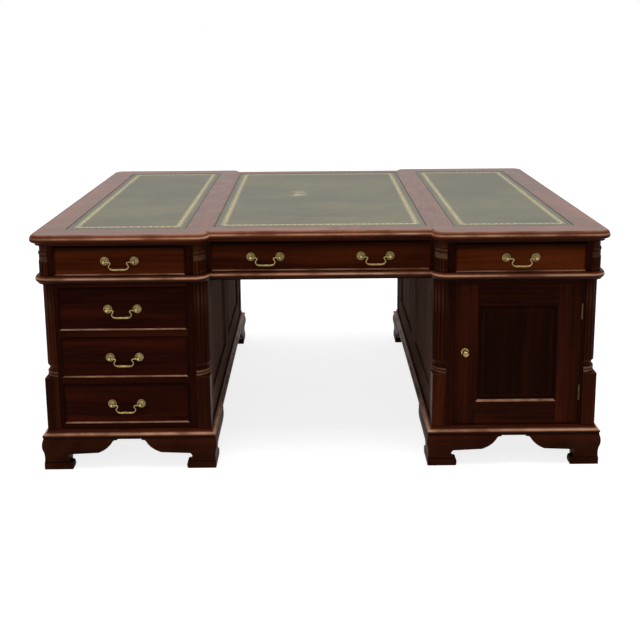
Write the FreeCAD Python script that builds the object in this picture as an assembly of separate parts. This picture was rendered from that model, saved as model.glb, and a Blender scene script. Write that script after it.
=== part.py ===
import FreeCAD, Part

import math
import os

from FreeCAD import Vector

# A free-standing partners desk: a moulded top with three leather insets, a frieze with three drawers on
# each working face, and two pedestals on bracket feet. Each working face has three drawers in the pedestal
# on the sitter's left and a cupboard on the sitter's right, so the rear is the front turned by half a turn.
# Millimetres. +X is to the right seen from the front, +Y runs from the front to the rear, +Z is up.
# The origin is on the floor, under the middle of the desk.

# Widths, from the middle outwards
KNEEHOLE_WIDTH = 718.0
INNER_STILE_WIDTH = 25.0
DRAWER_OPENING_WIDTH = 408.0
OUTER_STILE_WIDTH = 12.0
CENTRE_STILE_WIDTH = 13.0
FRIEZE_INNER_STILE_WIDTH = 25.0
FRIEZE_OUTER_STILE_WIDTH = 18.0
FRIEZE_END_PROUD = 6.0
END_OVERHANG = 19.0
FRONT_OVERHANG = 27.0
RETURN_OVERHANG = 15.0

# Depth over the corner blocks of the pedestals
CARCASE_DEPTH = 1166.0

# Heights, from the floor upwards
FOOT_HEIGHT = 104.0
BASE_MOULDING_HEIGHT = 27.0
BOTTOM_BOARD_THICKNESS = 12.0
LOWEST_RUNNER_HEIGHT = 8.0
LOWER_DRAWER_HEIGHT = 135.0
MIDDLE_DRAWER_HEIGHT = 136.0
UPPER_DRAWER_HEIGHT = 142.0
DRAWER_RAIL_THICKNESS = 22.5
PEDESTAL_TOP_THICKNESS = 13.0
WAIST_HEIGHT = 26.0
FRIEZE_DRAWER_HEIGHT = 95.0
FRIEZE_RAIL_THICKNESS = 7.0
TOP_THICKNESS = 35.0

# Corner columns
COLUMN_RADIUS = 36.0
BLOCK_SIZE = 43.0
BLOCK_PROUD = 5.0
COLUMN_SETBACK = 1.0
BREAK_RETURN = 1.0
BLOCK_HEIGHT = 178.0
FLUTE_COUNT = 5
FLUTE_RADIUS = 3.0
FLUTE_DEPTH = 2.0
BEAD_HEIGHT = 10.0
BEAD_DEPTH = 4.0
BEAD_COUNT = 2
SCOOP_HEIGHT = 20.0
SCOOP_DEEPEST_SHARE = 0.4
NECK_HEIGHT = 25.0
NECK_SETBACK = 3.0
FRIEZE_BEAD_HEIGHT = 10.0

# Top
TOP_CORNER_RADIUS = 42.0
TOP_LIPPING_WIDTH = 20.0
NOSE_HEIGHT = 25.0
NOSE_DEPTH = 11.0
NOSE_TIP_SHARE = 0.72
COVE_STEP = 4.0
COVE_DEPTH = 16.0
COVE_BOW_OUT = 0.25
COVE_BOW_UP = 0.65
END_BAND_WIDTH = 100.0
CROSS_BAND_WIDTH = 86.0
SIDE_BAND_WIDTH = 87.0
CENTRE_BAND_WIDTH = 65.0
CENTRE_LEATHER_WIDTH = 686.0
LEATHER_RECESS = 2.0
LEATHER_THICKNESS = 1.6
LEATHER_GAP = 0.6

# Waist moulding
WAIST_PROJECTION = 13.5
WAIST_FILLET_PROJECTION = 5.0
WAIST_FILLET_HEIGHT = 3.5

# Base moulding and feet
BASE_PROJECTION = 15.5
BASE_TORUS_HEIGHT = 9.0
BASE_TORUS_DEPTH = 3.5
BASE_STEP_HEIGHT = 6.0
BASE_STEP_PROJECTION = 13.5
BASE_TOP_PROJECTION = 2.0
BASE_FILLET_HEIGHT = 1.5
BASE_FRAME_WIDTH = 60.0
FOOT_TOP_PROJECTION = 14.0
FOOT_BULGE_PROJECTION = 18.0
FOOT_BULGE_HEIGHT = 82.0
FOOT_WAVE_PROJECTION = 14.0
FOOT_WAVE_HEIGHT = 60.0
FOOT_ANKLE_PROJECTION = 12.0
FOOT_ANKLE_HEIGHT = 40.0
FOOT_PAD_PROJECTION = 14.0
FOOT_PAD_HEIGHT = 24.0
FOOT_INNER_DEPTH = 14.0
FOOT_TOE_LENGTH = 97.0
FOOT_ANKLE_LENGTH = 81.0
FOOT_ANKLE_ROUNDING = 4.0
FOOT_TOE_ROUNDING = 2.0
FOOT_NOTCH_HEIGHT = 52.0
FOOT_WING_LENGTH = 183.0
FOOT_WING_HEIGHT = 56.5
FOOT_LENGTH = 244.0
FOOT_TIP_THICKNESS = 3.0
FOOT_SWEEP_RUN = 0.77
FOOT_SWEEP_RISE = 0.9
FOOT_SWEEP_BOW = 4.7
FOOT_CORNER_BOW = 1.8
FOOT_BLOCK_SIZE = 45.0
FOOT_BLOCK_LIFT = 3.0

# Pedestal boards
SIDE_THICKNESS = 22.0
STILE_THICKNESS = 22.0
RAIL_DEPTH = 60.0
DIVIDER_THICKNESS = 18.0
SIDE_BOTTOM_RAIL_HEIGHT = 81.0
SIDE_TOP_RAIL_HEIGHT = 62.0
SIDE_END_STILE_WIDTH = 80.0
SIDE_MIDDLE_STILE_WIDTH = 100.0
SIDE_PANEL_THICKNESS = 9.0
SIDE_PANEL_RECESS = 7.0
PANEL_TONGUE = 6.0
TONGUE_CLEARANCE = 0.5
RUNNER_LEDGE = 18.0
GUIDE_HEIGHT = 30.0
SHELF_THICKNESS = 16.0
SHELF_HEIGHT = 225.0
SHELF_SETBACK = 40.0
SHELF_END_GAP = 0.3
CLEAT_SIZE = 15.0

# Frieze boards
FRIEZE_POST_DEPTH = 29.0
FRIEZE_RAIL_DEPTH = 40.0
PARTITION_THICKNESS = 20.0
SPINE_THICKNESS = 20.0

# Drawers
DRAWER_SIDE_CLEARANCE = 1.0
DRAWER_SEAT_GAP = 0.3
DRAWER_TOP_CLEARANCE = 1.5
DRAWER_BACK_GAP = 20.0
DRAWER_FRONT_THICKNESS = 20.0
DRAWER_SIDE_THICKNESS = 12.0
DRAWER_SIDE_DROP = 8.0
DRAWER_BOTTOM_THICKNESS = 7.0
DRAWER_BOTTOM_LIFT = 8.0
COCK_BEAD_WIDTH = 5.0
COCK_BEAD_PROUD = 3.0
COCK_BEAD_REBATE = 6.0
COCK_BEAD_ROUNDING = 1.4

# Swan-neck handles
HANDLE_SPACING = 93.0
CENTRE_HANDLE_OFFSET = 176.0
ROSE_RADIUS = 14.5
ROSE_EDGE_HEIGHT = 1.2
ROSE_RIM_WIDTH = 3.0
ROSE_RIM_HEIGHT = 3.0
ROSE_DISH_RADIUS = 6.5
ROSE_HEIGHT = 4.2
POST_REACH = 17.0
POST_FLANGE_RADIUS = 5.2
POST_FLANGE_HEIGHT = 1.2
POST_STEM_RADIUS = 3.2
POST_BALL_RADIUS = 5.5
POST_BORE_END = 2.5
BOLT_RADIUS = 2.0
BOLT_CLEARANCE = 0.1
BOLT_HOLE_CLEARANCE = 0.2
BOLT_END = 1.5
NUT_RADIUS = 4.4
NUT_HEIGHT = 3.5
NUT_SIDES = 6
BAIL_PIN_RADIUS = 1.8
BAIL_PIN_CLEARANCE = 0.05
BAIL_PIN_END = 0.6
BAIL_SHOULDER_GAP = 0.3
BAIL_ROD_RADIUS = 2.2
BAIL_GRIP_RADIUS = 3.5
BAIL_GRIP_END_RADIUS = 2.0
BAIL_DROP = 27.0
BAIL_ELBOW_REACH = 24.0
BAIL_FOOT_REACH = 13.5
BAIL_ELBOW_RADIUS = 5.0
BAIL_FOOT_RADIUS = 8.0

# Cupboard doors
DOOR_SILL_HEIGHT = 5.0
DOOR_CLEARANCE = 1.5
DOOR_BACK_GAP = 0.3
DOOR_STILE_WIDTH = 72.0
DOOR_TOP_RAIL_HEIGHT = 67.0
DOOR_BOTTOM_RAIL_HEIGHT = 74.0
DOOR_TONGUE_DEPTH = 9.0
DOOR_TONGUE_THICKNESS = 6.0
DOOR_FIELD_DEPTH = 3.0
DOOR_FIELD_MARGIN = 18.0
DOOR_BEVEL_GAP = 1.0
DOOR_STOP_LAP = 10.0
DOOR_STOP_THICKNESS = 12.0
KNOB_EDGE_DISTANCE = 34.0
KNOB_HEIGHT_ABOVE_SILL = 247.0
KNOB_PLATE_RADIUS = 12.5
KNOB_PLATE_HEIGHT = 2.0
KNOB_STEM_RADIUS = 5.0
KNOB_BALL_RADIUS = 11.5
KNOB_REACH = 18.0
KNOB_SHANK_RADIUS = 2.5
KNOB_SHANK_LENGTH = 15.0

# Butt hinges
HINGE_LENGTH = 50.0
HINGE_KNUCKLE_GAP = 0.2
HINGE_END_KNUCKLE = 16.0
HINGE_PROUD = 2.5
HINGE_BARREL_RADIUS = 3.4
HINGE_BARREL_CLEARANCE = 0.5
HINGE_PIN_RADIUS = 1.5
HINGE_PIN_CLEARANCE = 0.05
HINGE_PIN_HEAD_RADIUS = 2.4
HINGE_PIN_HEAD_HEIGHT = 2.0
HINGE_LEAF_THICKNESS = 1.2
HINGE_LEAF_DEPTH = 14.0
LOWER_HINGE_SETBACK = 108.0
UPPER_HINGE_SETBACK = 92.0

# Places worked out from the sizes above
BREAK_DEPTH = COLUMN_RADIUS + BREAK_RETURN
PEDESTAL_COLUMN_RADIUS = BLOCK_SIZE - COLUMN_SETBACK
INNER_BLOCK_X = KNEEHOLE_WIDTH / 2.0
INNER_FACE_X = INNER_BLOCK_X + BLOCK_PROUD
INNER_STILE_X = INNER_BLOCK_X + BLOCK_SIZE
OPENING_INNER_X = INNER_STILE_X + INNER_STILE_WIDTH
OPENING_OUTER_X = OPENING_INNER_X + DRAWER_OPENING_WIDTH
OUTER_STILE_X = OPENING_OUTER_X + OUTER_STILE_WIDTH
OUTER_BLOCK_X = OUTER_STILE_X + BLOCK_SIZE
OUTER_FACE_X = OUTER_BLOCK_X - BLOCK_PROUD
CASE_INNER_X = INNER_FACE_X + SIDE_THICKNESS
CASE_OUTER_X = OUTER_FACE_X - SIDE_THICKNESS
FRIEZE_OUTER_X = OUTER_BLOCK_X + FRIEZE_END_PROUD
TOP_HALF_LENGTH = FRIEZE_OUTER_X + END_OVERHANG

BLOCK_Y = CARCASE_DEPTH / 2.0
FACE_Y = BLOCK_Y - BLOCK_PROUD
CENTRE_FACE_Y = FACE_Y - BREAK_DEPTH
POST_BACK_Y = BLOCK_Y - BLOCK_SIZE
COLUMN_BACK_Y = BLOCK_Y - COLUMN_RADIUS
TOP_HALF_DEPTH = BLOCK_Y + FRONT_OVERHANG

FRIEZE_INNER_X = INNER_FACE_X
FRIEZE_INNER_STILE_X = FRIEZE_INNER_X + COLUMN_RADIUS
FRIEZE_OPENING_INNER_X = FRIEZE_INNER_STILE_X + FRIEZE_INNER_STILE_WIDTH
FRIEZE_OUTER_STILE_X = FRIEZE_OUTER_X - COLUMN_RADIUS
FRIEZE_END_X = FRIEZE_OUTER_X - BLOCK_PROUD
FRIEZE_END_INNER_X = FRIEZE_END_X - SIDE_THICKNESS
FRIEZE_OPENING_OUTER_X = FRIEZE_OUTER_STILE_X - FRIEZE_OUTER_STILE_WIDTH
CENTRE_OPENING_X = FRIEZE_INNER_X - CENTRE_STILE_WIDTH
PARTITION_OUTER_X = FRIEZE_INNER_X + PARTITION_THICKNESS

BASE_TOP_Z = FOOT_HEIGHT + BASE_MOULDING_HEIGHT
BOTTOM_BOARD_Z = BASE_TOP_Z + BOTTOM_BOARD_THICKNESS
LOWER_DRAWER_Z = BOTTOM_BOARD_Z + LOWEST_RUNNER_HEIGHT
LOWER_RAIL_Z = LOWER_DRAWER_Z + LOWER_DRAWER_HEIGHT
MIDDLE_DRAWER_Z = LOWER_RAIL_Z + DRAWER_RAIL_THICKNESS
UPPER_RAIL_Z = MIDDLE_DRAWER_Z + MIDDLE_DRAWER_HEIGHT
UPPER_DRAWER_Z = UPPER_RAIL_Z + DRAWER_RAIL_THICKNESS
PEDESTAL_TOP_BOARD_Z = UPPER_DRAWER_Z + UPPER_DRAWER_HEIGHT
PEDESTAL_TOP_Z = PEDESTAL_TOP_BOARD_Z + PEDESTAL_TOP_THICKNESS
FRIEZE_Z = PEDESTAL_TOP_Z + WAIST_HEIGHT
FRIEZE_RAIL_Z = FRIEZE_Z + FRIEZE_DRAWER_HEIGHT
TOP_Z = FRIEZE_RAIL_Z + FRIEZE_RAIL_THICKNESS
DESK_HEIGHT = TOP_Z + TOP_THICKNESS
DOOR_OPENING_Z = BASE_TOP_Z + DOOR_SILL_HEIGHT
SHELF_Z = BOTTOM_BOARD_Z + SHELF_HEIGHT

FRONT = -1.0
REAR = 1.0
HALF_TURN = 180.0
QUARTER_TURN = 90.0
FULL_TURN = 360.0
TINY = 0.01
ORIGIN = Vector(0, 0, 0)
AXIS_X = Vector(1, 0, 0)
AXIS_Y = Vector(0, 1, 0)
AXIS_Z = Vector(0, 0, 1)


# Basic shapes
def box(x0, x1, y0, y1, z0, z1):
    """A box between two opposite corners, given in any order along Y."""
    low_y = min(y0, y1)
    return Part.makeBox(x1 - x0, abs(y1 - y0), z1 - z0, Vector(x0, low_y, z0))


def face_box(side, x0, x1, depth0, depth1, z0, z1):
    """A box between two depths behind the front (side -1) or rear (side +1) working face."""
    return box(x0, x1, side * (FACE_Y - depth0), side * (FACE_Y - depth1), z0, z1)


def moved(shape, x, y, z):
    """A copy of a shape, shifted."""
    copy = shape.copy()
    copy.translate(Vector(x, y, z))
    return copy


def turned(shape, angle):
    """A copy of a shape, turned about the vertical axis through the origin."""
    copy = shape.copy()
    copy.rotate(ORIGIN, AXIS_Z, angle)
    return copy


def half_turned(shapes):
    """Copies for the opposite working face."""
    return [turned(shape, HALF_TURN) for shape in shapes]


def mirrored_x(shape):
    """A copy mirrored from left to right."""
    return shape.mirror(ORIGIN, AXIS_X)


def mirrored_y(shape):
    """A copy mirrored from front to rear."""
    return shape.mirror(ORIGIN, AXIS_Y)


def four_ways(shape):
    """A piece and its mirror images in the other three quarters of the desk."""
    left = mirrored_x(shape)
    return [shape, left, mirrored_y(shape), mirrored_y(left)]


def line(a, b):
    return Part.LineSegment(a, b).toShape()


def arc(a, middle, b):
    return Part.Arc(a, middle, b).toShape()


def bowed(a, b, height):
    """An arc in the XZ plane, bowed by a height to the right of the line from a to b."""
    along = b - a
    across = Vector(along.z, 0, -along.x).normalize()
    return arc(a, (a + b) / 2.0 + across * height, b)


def upright_arc(a, b):
    """An arc in the YZ plane that is upright at a and ends at b."""
    across = b.y - a.y
    radius = (across**2 + (b.z - a.z) ** 2) / (2.0 * across)
    centre = a + AXIS_Y * radius
    outward = (a + b - centre * 2.0).normalize()
    return arc(a, centre + outward * abs(radius), b)


def polygon(points):
    """A closed wire of straight lines."""
    return Part.makePolygon(points + [points[0]])


def solid_of(shape):
    """The one solid of a shape."""
    return shape.Solids[0]


def rounded_path(points, radii):
    """Straight runs through points, joined by tangent arcs; radii has one value per inner point."""
    edges = []
    start = points[0]
    for before, corner, after, radius in zip(points, points[1:], points[2:], radii):
        back = (before - corner).normalize()
        ahead = (after - corner).normalize()
        half_angle = back.getAngle(ahead) / 2.0
        reach = radius / math.tan(half_angle)
        bisector = (back + ahead).normalize()
        tip = corner + bisector * (radius / math.sin(half_angle) - radius)
        entry = corner + back * reach
        leave = corner + ahead * reach
        edges.append(line(start, entry))
        edges.append(arc(entry, tip, leave))
        start = leave
    edges.append(line(start, points[-1]))
    return Part.Wire(edges)


def breakfront_wire(half_length, half_depth, return_x, corner_radius, break_radius, z):
    """The outline of the desk seen from above: rounded ends and a set-back middle on both long sides.

    It starts and ends halfway along the front of the set-back middle.
    """
    centre_y = half_depth - BREAK_DEPTH
    diagonal = math.sqrt(0.5)

    def corner(centre_x, centre_y, radius, x_sign, y_sign):
        return Vector(
            centre_x + x_sign * radius * diagonal, centre_y + y_sign * radius * diagonal, z
        )

    quarter = [
        line(Vector(0, -centre_y, z), Vector(return_x, -centre_y, z)),
        line(Vector(return_x, -centre_y, z), Vector(return_x, break_radius - half_depth, z)),
        arc(
            Vector(return_x, break_radius - half_depth, z),
            corner(return_x + break_radius, break_radius - half_depth, break_radius, -1, -1),
            Vector(return_x + break_radius, -half_depth, z),
        ),
        line(
            Vector(return_x + break_radius, -half_depth, z),
            Vector(half_length - corner_radius, -half_depth, z),
        ),
        arc(
            Vector(half_length - corner_radius, -half_depth, z),
            corner(half_length - corner_radius, corner_radius - half_depth, corner_radius, 1, -1),
            Vector(half_length, corner_radius - half_depth, z),
        ),
        line(Vector(half_length, corner_radius - half_depth, z), Vector(half_length, 0, z)),
    ]
    half = quarter + [mirrored_y(edge) for edge in reversed(quarter)]
    whole = half + [mirrored_x(edge) for edge in reversed(half)]
    return Part.Wire(Part.__sortEdges__(whole))


def moulding_lengths(half_length, half_depth, return_x, corner_radius, break_radius, section, reach):
    """The sixteen lengths of a moulding round the desk, against a wall with the given outline.

    The section is drawn at X = 0, outward to -Y from a wall at Y = 0, and is no deeper than the reach.
    """
    face = Part.Face(section)
    centre_y = half_depth - BREAK_DEPTH
    break_x = return_x + break_radius
    front = moved(face, break_x, -half_depth, 0)
    front_length = front.extrude(AXIS_X * (half_length - corner_radius - break_x))
    corner_axis = Vector(half_length - corner_radius, corner_radius - half_depth, 0)
    corner_face = moved(face, corner_axis.x, -half_depth, 0)
    corner = corner_face.revolve(corner_axis, AXIS_Z, QUARTER_TURN)
    end_face = moved(turned(face, QUARTER_TURN), half_length, corner_axis.y, 0)
    end = end_face.extrude(AXIS_Y * (-2.0 * corner_axis.y))
    break_axis = Vector(break_x, break_radius - half_depth, 0)
    bend = front.revolve(break_axis, AXIS_Z, -QUARTER_TURN)
    return_face = moved(turned(face, -QUARTER_TURN), return_x, break_axis.y, 0)
    straight = return_face.extrude(AXIS_Y * (BREAK_DEPTH - break_radius))
    low_z = section.BoundBox.ZMin
    mitre_x = return_x - reach
    mitre_y = -centre_y - reach
    bend_plan = polygon(
        [
            Vector(return_x, -centre_y, low_z),
            Vector(mitre_x, mitre_y, low_z),
            Vector(mitre_x, mitre_y - BREAK_DEPTH, low_z),
            Vector(break_x, mitre_y - BREAK_DEPTH, low_z),
            Vector(break_x, -centre_y, low_z),
        ]
    )
    centre_plan = polygon(
        [
            Vector(-return_x, -centre_y, low_z),
            Vector(return_x, -centre_y, low_z),
            Vector(mitre_x, mitre_y, low_z),
            Vector(-mitre_x, mitre_y, low_z),
        ]
    )
    height = AXIS_Z * section.BoundBox.ZLength
    break_piece = bend.fuse(straight).common(Part.Face(bend_plan).extrude(height))
    centre_bar = moved(face, -return_x, -centre_y, 0).extrude(AXIS_X * (2.0 * return_x))
    centre = centre_bar.common(Part.Face(centre_plan).extrude(height))
    pieces = [centre, mirrored_y(centre), end, mirrored_x(end)]
    for piece in (front_length, corner, break_piece.removeSplitter()):
        pieces += four_ways(piece)
    return [solid_of(piece) for piece in pieces]


# Top
def top_outline(inset):
    """The top's outline, drawn in by an inset: half length, half depth, return X and the two radii."""
    return (
        TOP_HALF_LENGTH - inset,
        TOP_HALF_DEPTH - inset,
        FRIEZE_INNER_X - RETURN_OVERHANG + inset,
        TOP_CORNER_RADIUS - inset,
        COLUMN_RADIUS - inset,
    )


def top_edge_section():
    """The top's moulded edge: a rounded nose with a small step and a cove below it."""
    nose_z = DESK_HEIGHT - NOSE_HEIGHT

    def point(inset, z):
        return Vector(0, inset - TOP_LIPPING_WIDTH, z)

    nose_top = point(NOSE_DEPTH, DESK_HEIGHT)
    nose_tip = point(0, DESK_HEIGHT - NOSE_HEIGHT * NOSE_TIP_SHARE)
    nose_foot = point(COVE_STEP, nose_z)
    cove_head = point(COVE_STEP * 2.0, nose_z)
    cove_foot = point(COVE_DEPTH, TOP_Z)
    cove_span = cove_head - cove_foot
    cove_middle = cove_foot + Vector(0, cove_span.y * COVE_BOW_OUT, cove_span.z * COVE_BOW_UP)
    inner_foot = point(TOP_LIPPING_WIDTH, TOP_Z)
    inner_head = point(TOP_LIPPING_WIDTH, DESK_HEIGHT)
    return Part.Wire(
        [
            line(inner_head, nose_top),
            upright_arc(nose_tip, nose_top),
            upright_arc(nose_tip, nose_foot),
            line(nose_foot, cove_head),
            arc(cove_head, cove_middle, cove_foot),
            line(cove_foot, inner_foot),
            line(inner_foot, inner_head),
        ]
    )


def leather_spans():
    """The three leather recesses as (x0, x1, half depth)."""
    inner = CENTRE_LEATHER_WIDTH / 2.0
    side_inner = inner + CROSS_BAND_WIDTH
    side_outer = TOP_HALF_LENGTH - END_BAND_WIDTH
    side_depth = TOP_HALF_DEPTH - SIDE_BAND_WIDTH
    centre_depth = TOP_HALF_DEPTH - BREAK_DEPTH - CENTRE_BAND_WIDTH
    return {
        "left": (-side_outer, -side_inner, side_depth),
        "centre": (-inner, inner, centre_depth),
        "right": (side_inner, side_outer, side_depth),
    }


def desk_top():
    """The top board, with its three shallow recesses for the leather, and its moulded lipping."""
    outline = top_outline(TOP_LIPPING_WIDTH)
    board = Part.Face(breakfront_wire(*outline, TOP_Z)).extrude(AXIS_Z * TOP_THICKNESS)
    recess_z = DESK_HEIGHT - LEATHER_RECESS
    for x0, x1, half_depth in leather_spans().values():
        board = board.cut(box(x0, x1, -half_depth, half_depth, recess_z, DESK_HEIGHT))
    return [solid_of(board)] + moulding_lengths(*outline, top_edge_section(), TOP_LIPPING_WIDTH)


def leather(x0, x1, half_depth):
    """One leather skin, lying in its recess with a hairline gap round it."""
    depth = half_depth - LEATHER_GAP
    bottom = DESK_HEIGHT - LEATHER_RECESS
    return box(x0 + LEATHER_GAP, x1 - LEATHER_GAP, -depth, depth, bottom, bottom + LEATHER_THICKNESS)


# Columns
def column_shaft(radius, z0, z1):
    """A fluted quarter column about the origin, in the quarter with positive X and Y."""
    shaft = Part.makeCylinder(radius, z1 - z0, Vector(0, 0, z0), AXIS_Z, QUARTER_TURN)
    flute_distance = radius + FLUTE_RADIUS - FLUTE_DEPTH
    for index in range(FLUTE_COUNT):
        angle = math.radians(QUARTER_TURN * (index + 0.5) / FLUTE_COUNT)
        foot = Vector(flute_distance * math.cos(angle), flute_distance * math.sin(angle), z0)
        shaft = shaft.cut(Part.makeCylinder(FLUTE_RADIUS, z1 - z0, foot))
    return shaft


def column_collar(radius, bead_height, z0, scoop_height):
    """Turned rings of a quarter column, with a scoop above them where the scoop has a height."""
    core_radius = radius - BEAD_DEPTH
    edges = [line(Vector(0, 0, z0), Vector(core_radius, 0, z0))]
    z = z0
    for _ in range(BEAD_COUNT):
        foot = Vector(core_radius, 0, z)
        head = Vector(core_radius, 0, z + bead_height)
        edges.append(arc(foot, Vector(core_radius + BEAD_DEPTH, 0, z + bead_height / 2.0), head))
        z += bead_height
    if scoop_height > 0:
        foot = Vector(core_radius, 0, z)
        head = Vector(radius, 0, z + scoop_height)
        middle = Vector(core_radius - BEAD_DEPTH / 2.0, 0, z + scoop_height * SCOOP_DEEPEST_SHARE)
        edges.append(arc(foot, middle, head))
        z += scoop_height
    rim = edges[-1].Vertexes[-1].Point
    edges.append(line(rim, Vector(0, 0, z)))
    edges.append(line(Vector(0, 0, z), Vector(0, 0, z0)))
    return Part.Face(Part.Wire(edges)).revolve(ORIGIN, AXIS_Z, QUARTER_TURN)


def pedestal_post():
    """A pedestal's corner: a square block, two turned rings and a scoop, then a fluted quarter column."""
    block_top = BASE_TOP_Z + BLOCK_HEIGHT
    shaft_z = block_top + BEAD_HEIGHT * BEAD_COUNT + SCOOP_HEIGHT
    block = box(0, BLOCK_SIZE, 0, BLOCK_SIZE, BASE_TOP_Z, block_top)
    collar = column_collar(PEDESTAL_COLUMN_RADIUS, BEAD_HEIGHT, block_top, SCOOP_HEIGHT)
    shaft = column_shaft(PEDESTAL_COLUMN_RADIUS, shaft_z, PEDESTAL_TOP_Z)
    return solid_of(block.fuse(collar).fuse(shaft).removeSplitter())


def pedestal_posts():
    """The four corners of the right pedestal."""
    post = pedestal_post()
    outer = moved(turned(post, -QUARTER_TURN), OUTER_STILE_X, -POST_BACK_Y, 0)
    inner = moved(turned(post, HALF_TURN), INNER_STILE_X, -POST_BACK_Y, 0)
    return [outer, inner, mirrored_y(outer), mirrored_y(inner)]


def frieze_column():
    """A frieze corner: a fluted quarter column, two turned rings and a plain neck."""
    rings_z = TOP_Z - NECK_HEIGHT - FRIEZE_BEAD_HEIGHT * BEAD_COUNT
    neck_z = TOP_Z - NECK_HEIGHT
    neck_radius = COLUMN_RADIUS - NECK_SETBACK
    shaft = column_shaft(COLUMN_RADIUS, FRIEZE_Z, rings_z)
    rings = column_collar(COLUMN_RADIUS, FRIEZE_BEAD_HEIGHT, rings_z, 0)
    neck = Part.makeCylinder(neck_radius, NECK_HEIGHT, Vector(0, 0, neck_z), AXIS_Z, QUARTER_TURN)
    return solid_of(shaft.fuse(rings).fuse(neck).removeSplitter())


def frieze_columns():
    """The eight quarter columns of the frieze."""
    column = frieze_column()
    outer = moved(turned(column, -QUARTER_TURN), FRIEZE_OUTER_STILE_X, -COLUMN_BACK_Y, 0)
    inner = moved(turned(column, HALF_TURN), FRIEZE_INNER_STILE_X, -COLUMN_BACK_Y, 0)
    return four_ways(outer) + four_ways(inner)


# Frieze
def waist_outline():
    """The outline of the frieze's bottom board, which the waist moulding follows."""
    return FRIEZE_OUTER_X, BLOCK_Y, FRIEZE_INNER_X, COLUMN_RADIUS, COLUMN_RADIUS


def waist_section():
    """The waist moulding's section: a half round on a flat fillet."""
    round_z = PEDESTAL_TOP_Z + WAIST_FILLET_HEIGHT

    def point(projection, z):
        return Vector(0, -projection, z)

    foot = point(0, PEDESTAL_TOP_Z)
    fillet_foot = point(WAIST_FILLET_PROJECTION, PEDESTAL_TOP_Z)
    round_foot = point(WAIST_FILLET_PROJECTION, round_z)
    round_tip = point(WAIST_PROJECTION, (round_z + FRIEZE_Z) / 2.0)
    round_head = point(WAIST_FILLET_PROJECTION, FRIEZE_Z)
    head = point(0, FRIEZE_Z)
    return Part.Wire(
        [
            line(foot, fillet_foot),
            line(fillet_foot, round_foot),
            arc(round_foot, round_tip, round_head),
            line(round_head, head),
            line(head, foot),
        ]
    )


def frieze_frame():
    """The frieze's bottom board, ends, stiles and top rails."""
    board = Part.Face(breakfront_wire(*waist_outline(), PEDESTAL_TOP_Z)).extrude(AXIS_Z * WAIST_HEIGHT)
    end = box(FRIEZE_END_INNER_X, FRIEZE_END_X, -COLUMN_BACK_Y, COLUMN_BACK_Y, FRIEZE_Z, TOP_Z)
    outer_stile = box(
        FRIEZE_OPENING_OUTER_X, FRIEZE_OUTER_STILE_X, -FACE_Y, -COLUMN_BACK_Y, FRIEZE_Z, TOP_Z
    )
    inner_stile = box(
        FRIEZE_INNER_STILE_X, FRIEZE_OPENING_INNER_X, -FACE_Y, -COLUMN_BACK_Y, FRIEZE_Z, TOP_Z
    )
    centre_stile = box(
        CENTRE_OPENING_X,
        FRIEZE_INNER_X,
        -CENTRE_FACE_Y,
        FRIEZE_POST_DEPTH - CENTRE_FACE_Y,
        FRIEZE_Z,
        TOP_Z,
    )
    side_rail = box(
        FRIEZE_OPENING_INNER_X,
        FRIEZE_OPENING_OUTER_X,
        -FACE_Y,
        FRIEZE_RAIL_DEPTH - FACE_Y,
        FRIEZE_RAIL_Z,
        TOP_Z,
    )
    centre_rail = box(
        -CENTRE_OPENING_X,
        CENTRE_OPENING_X,
        -CENTRE_FACE_Y,
        FRIEZE_RAIL_DEPTH - CENTRE_FACE_Y,
        FRIEZE_RAIL_Z,
        TOP_Z,
    )
    pieces = [solid_of(board), end, mirrored_x(end), centre_rail, mirrored_y(centre_rail)]
    for piece in (outer_stile, inner_stile, centre_stile, side_rail):
        pieces += four_ways(piece)
    return pieces


def frieze_partitions():
    """The boards between the frieze drawers, and the strips that guide the drawers' sides."""
    half_spine = SPINE_THICKNESS / 2.0
    guide_top = FRIEZE_Z + GUIDE_HEIGHT
    centre_guide_y = FRIEZE_POST_DEPTH - CENTRE_FACE_Y
    partition = box(FRIEZE_INNER_X, PARTITION_OUTER_X, -COLUMN_BACK_Y, COLUMN_BACK_Y, FRIEZE_Z, TOP_Z)
    side_spine = box(PARTITION_OUTER_X, FRIEZE_END_INNER_X, -half_spine, half_spine, FRIEZE_Z, TOP_Z)
    centre_spine = box(-FRIEZE_INNER_X, FRIEZE_INNER_X, -half_spine, half_spine, FRIEZE_Z, TOP_Z)
    outer_guide = box(
        FRIEZE_OPENING_OUTER_X, FRIEZE_END_INNER_X, -COLUMN_BACK_Y, -half_spine, FRIEZE_Z, guide_top
    )
    inner_guide = box(
        PARTITION_OUTER_X, FRIEZE_OPENING_INNER_X, -COLUMN_BACK_Y, -half_spine, FRIEZE_Z, guide_top
    )
    centre_guide = box(
        CENTRE_OPENING_X, FRIEZE_INNER_X, centre_guide_y, -half_spine, FRIEZE_Z, guide_top
    )
    pieces = [partition, mirrored_x(partition), side_spine, mirrored_x(side_spine), centre_spine]
    for guide in (outer_guide, inner_guide, centre_guide):
        pieces += four_ways(guide)
    return pieces


# Pedestals: the right one, with its door at the front and its drawers at the rear
def side_panel_spans():
    """The openings of a pedestal side's two panels as (y0, y1), front first."""
    middle = SIDE_MIDDLE_STILE_WIDTH / 2.0
    end = POST_BACK_Y - SIDE_END_STILE_WIDTH
    return [(-end, -middle), (middle, end)]


def side_panel_heights():
    return BASE_TOP_Z + SIDE_BOTTOM_RAIL_HEIGHT, PEDESTAL_TOP_Z - SIDE_TOP_RAIL_HEIGHT


def side_panel_depths():
    """The two sides' panels as (x0, x1), kneehole side first."""
    inner = INNER_FACE_X + SIDE_PANEL_RECESS
    outer = OUTER_FACE_X - SIDE_PANEL_RECESS
    return [(inner, inner + SIDE_PANEL_THICKNESS), (outer - SIDE_PANEL_THICKNESS, outer)]


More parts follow.
